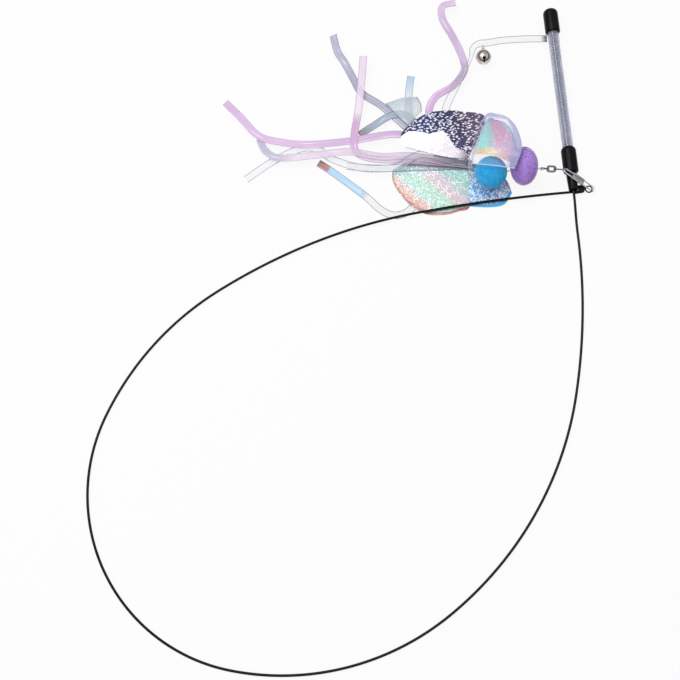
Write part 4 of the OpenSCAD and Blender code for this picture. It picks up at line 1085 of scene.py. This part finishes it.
# Painted shade: the far end of the bell's ribbon is dark where it lies against the black butt cap
ribbon("bell", 10, "clear_film", film_finish(
    "clear_film_cap_shaded_end",
    [(0, 70, 70, 78, 0.9), (0.012, 110, 112, 120, 0.7), (0.03, *CLEAR, 0.12), (1, *CLEAR, 0.1)], OUTLINE,
    0.75, 0.1),
    (0.5638, 0.94, -0.01), (0.4, 0.935, -0.005), (0.25, 0.92, 0.003), (0.14, 0.901, 0.003),
    (0.09, 0.896, 0.003), (0.045, 0.86, 0.01, 30), (0.025, 0.78, 0.03, 60), (-0.02, 0.68, 0.035, 50),
    (-0.1, 0.53, 0.02, 20), (-0.16, 0.38), (-0.15, 0.14), (-0.1, 0.02))
# The pink ribbons below end in painted shade towards the tie
ribbon("pink_long", 11, "pink_film", film_finish(
    "pink_film_long",
    [(0, 206, 172, 212), (0.35, 216, 184, 222), (0.74, 208, 172, 214), (0.87, *HALF_SHADED), (1, *SHADED)],
    PINK_EDGE, 1),
    (-1.67, 0.45, 0.01), (-1.56, 0.34), (-1.44, 0.21), (-1.3, 0.165), (-1.1, 0.145), (-0.82, 0.17),
    (-0.48, 0.22), (-0.25, 0.13), (-0.1, 0.02))
ribbon("pink_upright", 12, "pink_film", film_finish(
    "pink_film_upright",
    [(0, 240, 222, 242, 0.7), (0.26, 248, 234, 248, 0.6), (0.31, 212, 170, 214, 0.94),
     (0.5, 222, 188, 226, 0.9), (0.7, 226, 200, 230, 0.8), (0.87, *HALF_SHADED, 0.94), (1, *SHADED, 0.95)],
    PINK_EDGE, 0.95),
    (-0.72, 0.79, 0.02), (-0.735, 0.6, 0.01), (-0.755, 0.4), (-0.785, 0.2), (-0.77, 0.09), (-0.65, 0.04),
    (-0.4, 0.03), (-0.1, 0.01))
ribbon("pink_low", 13, "pink_film", film_finish(
    "pink_film_low",
    [(0, 186, 182, 204, 0.95), (0.24, 194, 190, 208, 0.9), (0.3, 238, 222, 240, 0.6),
     (0.75, 232, 214, 236, 0.65), (0.87, *HALF_SHADED, 0.94), (1, *SHADED, 0.95)], (214, 186, 222), 0.9),
    (-1.43, 0.19, -0.012), (-1.39, 0.1, -0.006), (-1.29, 0.045), (-1.05, 0.065), (-0.82, 0.09),
    (-0.6, 0.055), (-0.4, 0.06), (-0.1, 0.01))
ribbon("clear", 14, "clear_film", clear_film,
       (-0.84, -0.015), (-0.66, -0.03), (-0.5, -0.02), (-0.33, 0.07), (-0.1, 0.02))


# ------------------------------
# Clear panel.
# A small square of stiff clear film, caught among the ribbons above the navy petal. It is
# creased along its middle.
PANEL = [
    [[-0.57, 0.45, 0], [-0.46, 0.49, 0.004], [-0.35, 0.5, 0]],
    [[-0.5, 0.37, 0], [-0.42, 0.42, 0.004], [-0.325, 0.45, 0]],
    [[-0.42, 0.29, 0], [-0.37, 0.34, 0.004], [-0.32, 0.39, 0]]]


def panel_place(u, v):
    left, middle, right = [Vector(smooth_point(column, v * 2)) for column in zip(*PANEL)]
    return over_tie(8, REACH, *(left.lerp(middle, 2 * u) if u < 0.5 else middle.lerp(right, 2 * u - 1)))


panel_film = film_finish(
    "grey_blue_panel_film", [(0, 190, 205, 218, 0.7), (0.5, 214, 222, 232, 0.45), (1, 206, 216, 226, 0.55)],
    OUTLINE, 0.85, 0.05, (3.0, 2.0))
settle(cut_film("strip_panel", 12, 16, panel_place)[0], panel_film, "lure", "clear_film", "film_panel")


# ------------------------------
# Bell.
# A small nickel jingle bell pressed from two cups with a rolled seam, slotted at the bottom; a
# split ring hangs its wire eye from a hole in the long clear ribbon, and a steel ball rolls in it.
BELL_R = 5.3 * MM
BELL_WALL = 0.5 * MM
SLOT_WIDE = 1.2 * MM
HOLE_R = 1.2 * MM
shell_low, shell_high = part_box("bell_shell")
shell_middle = middle_of("bell_shell")
deselect()
bpy.ops.mesh.primitive_uv_sphere_add(segments=64, ring_count=40, radius=BELL_R, rotation=(math.pi / 2, 0, 0))
bell = named("bell_cups")
modified(bell, "SOLIDIFY", thickness=BELL_WALL, offset=-1)
bpy.ops.mesh.primitive_cube_add(size=1, location=(0, -BELL_R * 0.8, 0))
bpy.context.object.scale = (SLOT_WIDE, BELL_R, 1.6 * BELL_R)
cutters = [named("slot_cut")]
for side in (-1, 1):
    bpy.ops.mesh.primitive_uv_sphere_add(segments=32, ring_count=16, radius=HOLE_R,
                                         location=(0, -BELL_R * 0.5, side * BELL_R * 0.8))
    cutters.append(named("hole_cut"))
take(bell)
for cutter in cutters:
    modified(bell, "BOOLEAN", operation="DIFFERENCE", object=cutter)
    bpy.data.objects.remove(cutter)
bpy.ops.mesh.primitive_torus_add(major_radius=BELL_R - 0.12 * MM, minor_radius=0.3 * MM, major_segments=72,
                                 minor_segments=14, rotation=(math.pi / 2, 0, 0))
named("bell_seam")
bell.select_set(True)
bpy.context.view_layer.objects.active = bell
bpy.ops.object.join()
bell.location = (shell_middle.x, shell_high.y - BELL_R, shell_middle.z)
bpy.ops.object.transform_apply()
shade(35)
bell_nickel = marked_finish("bell_nickel", (206, 200, 196), (166, 158, 152), (0.07, 0.2), 500.0, 0.05, 0.03,
                            Metallic=1.0)
settle(bell, bell_nickel, "bell", "bell_metal", "bell_shell")
ring_wire = marked_finish("bell_ring_wire", (200, 198, 200), (150, 148, 150), (0.18, 0.34), 800.0, 0.08, 0.02,
                          Metallic=1.0)
dress("bell_ring", "bell_split_ring", ring_wire, "lure", "bell_wire")
dress("bell_eye", "bell_wire_eye", ring_wire, "bell", "bell_wire")
ball_steel = marked_finish("bell_ball_steel", (120, 118, 120), (90, 86, 86), (0.25, 0.45), 900.0, 0.12, 0.03,
                           Metallic=1.0)
dress("bell_ball", "bell_rolling_ball", ball_steel, "ball", "ball_steel")
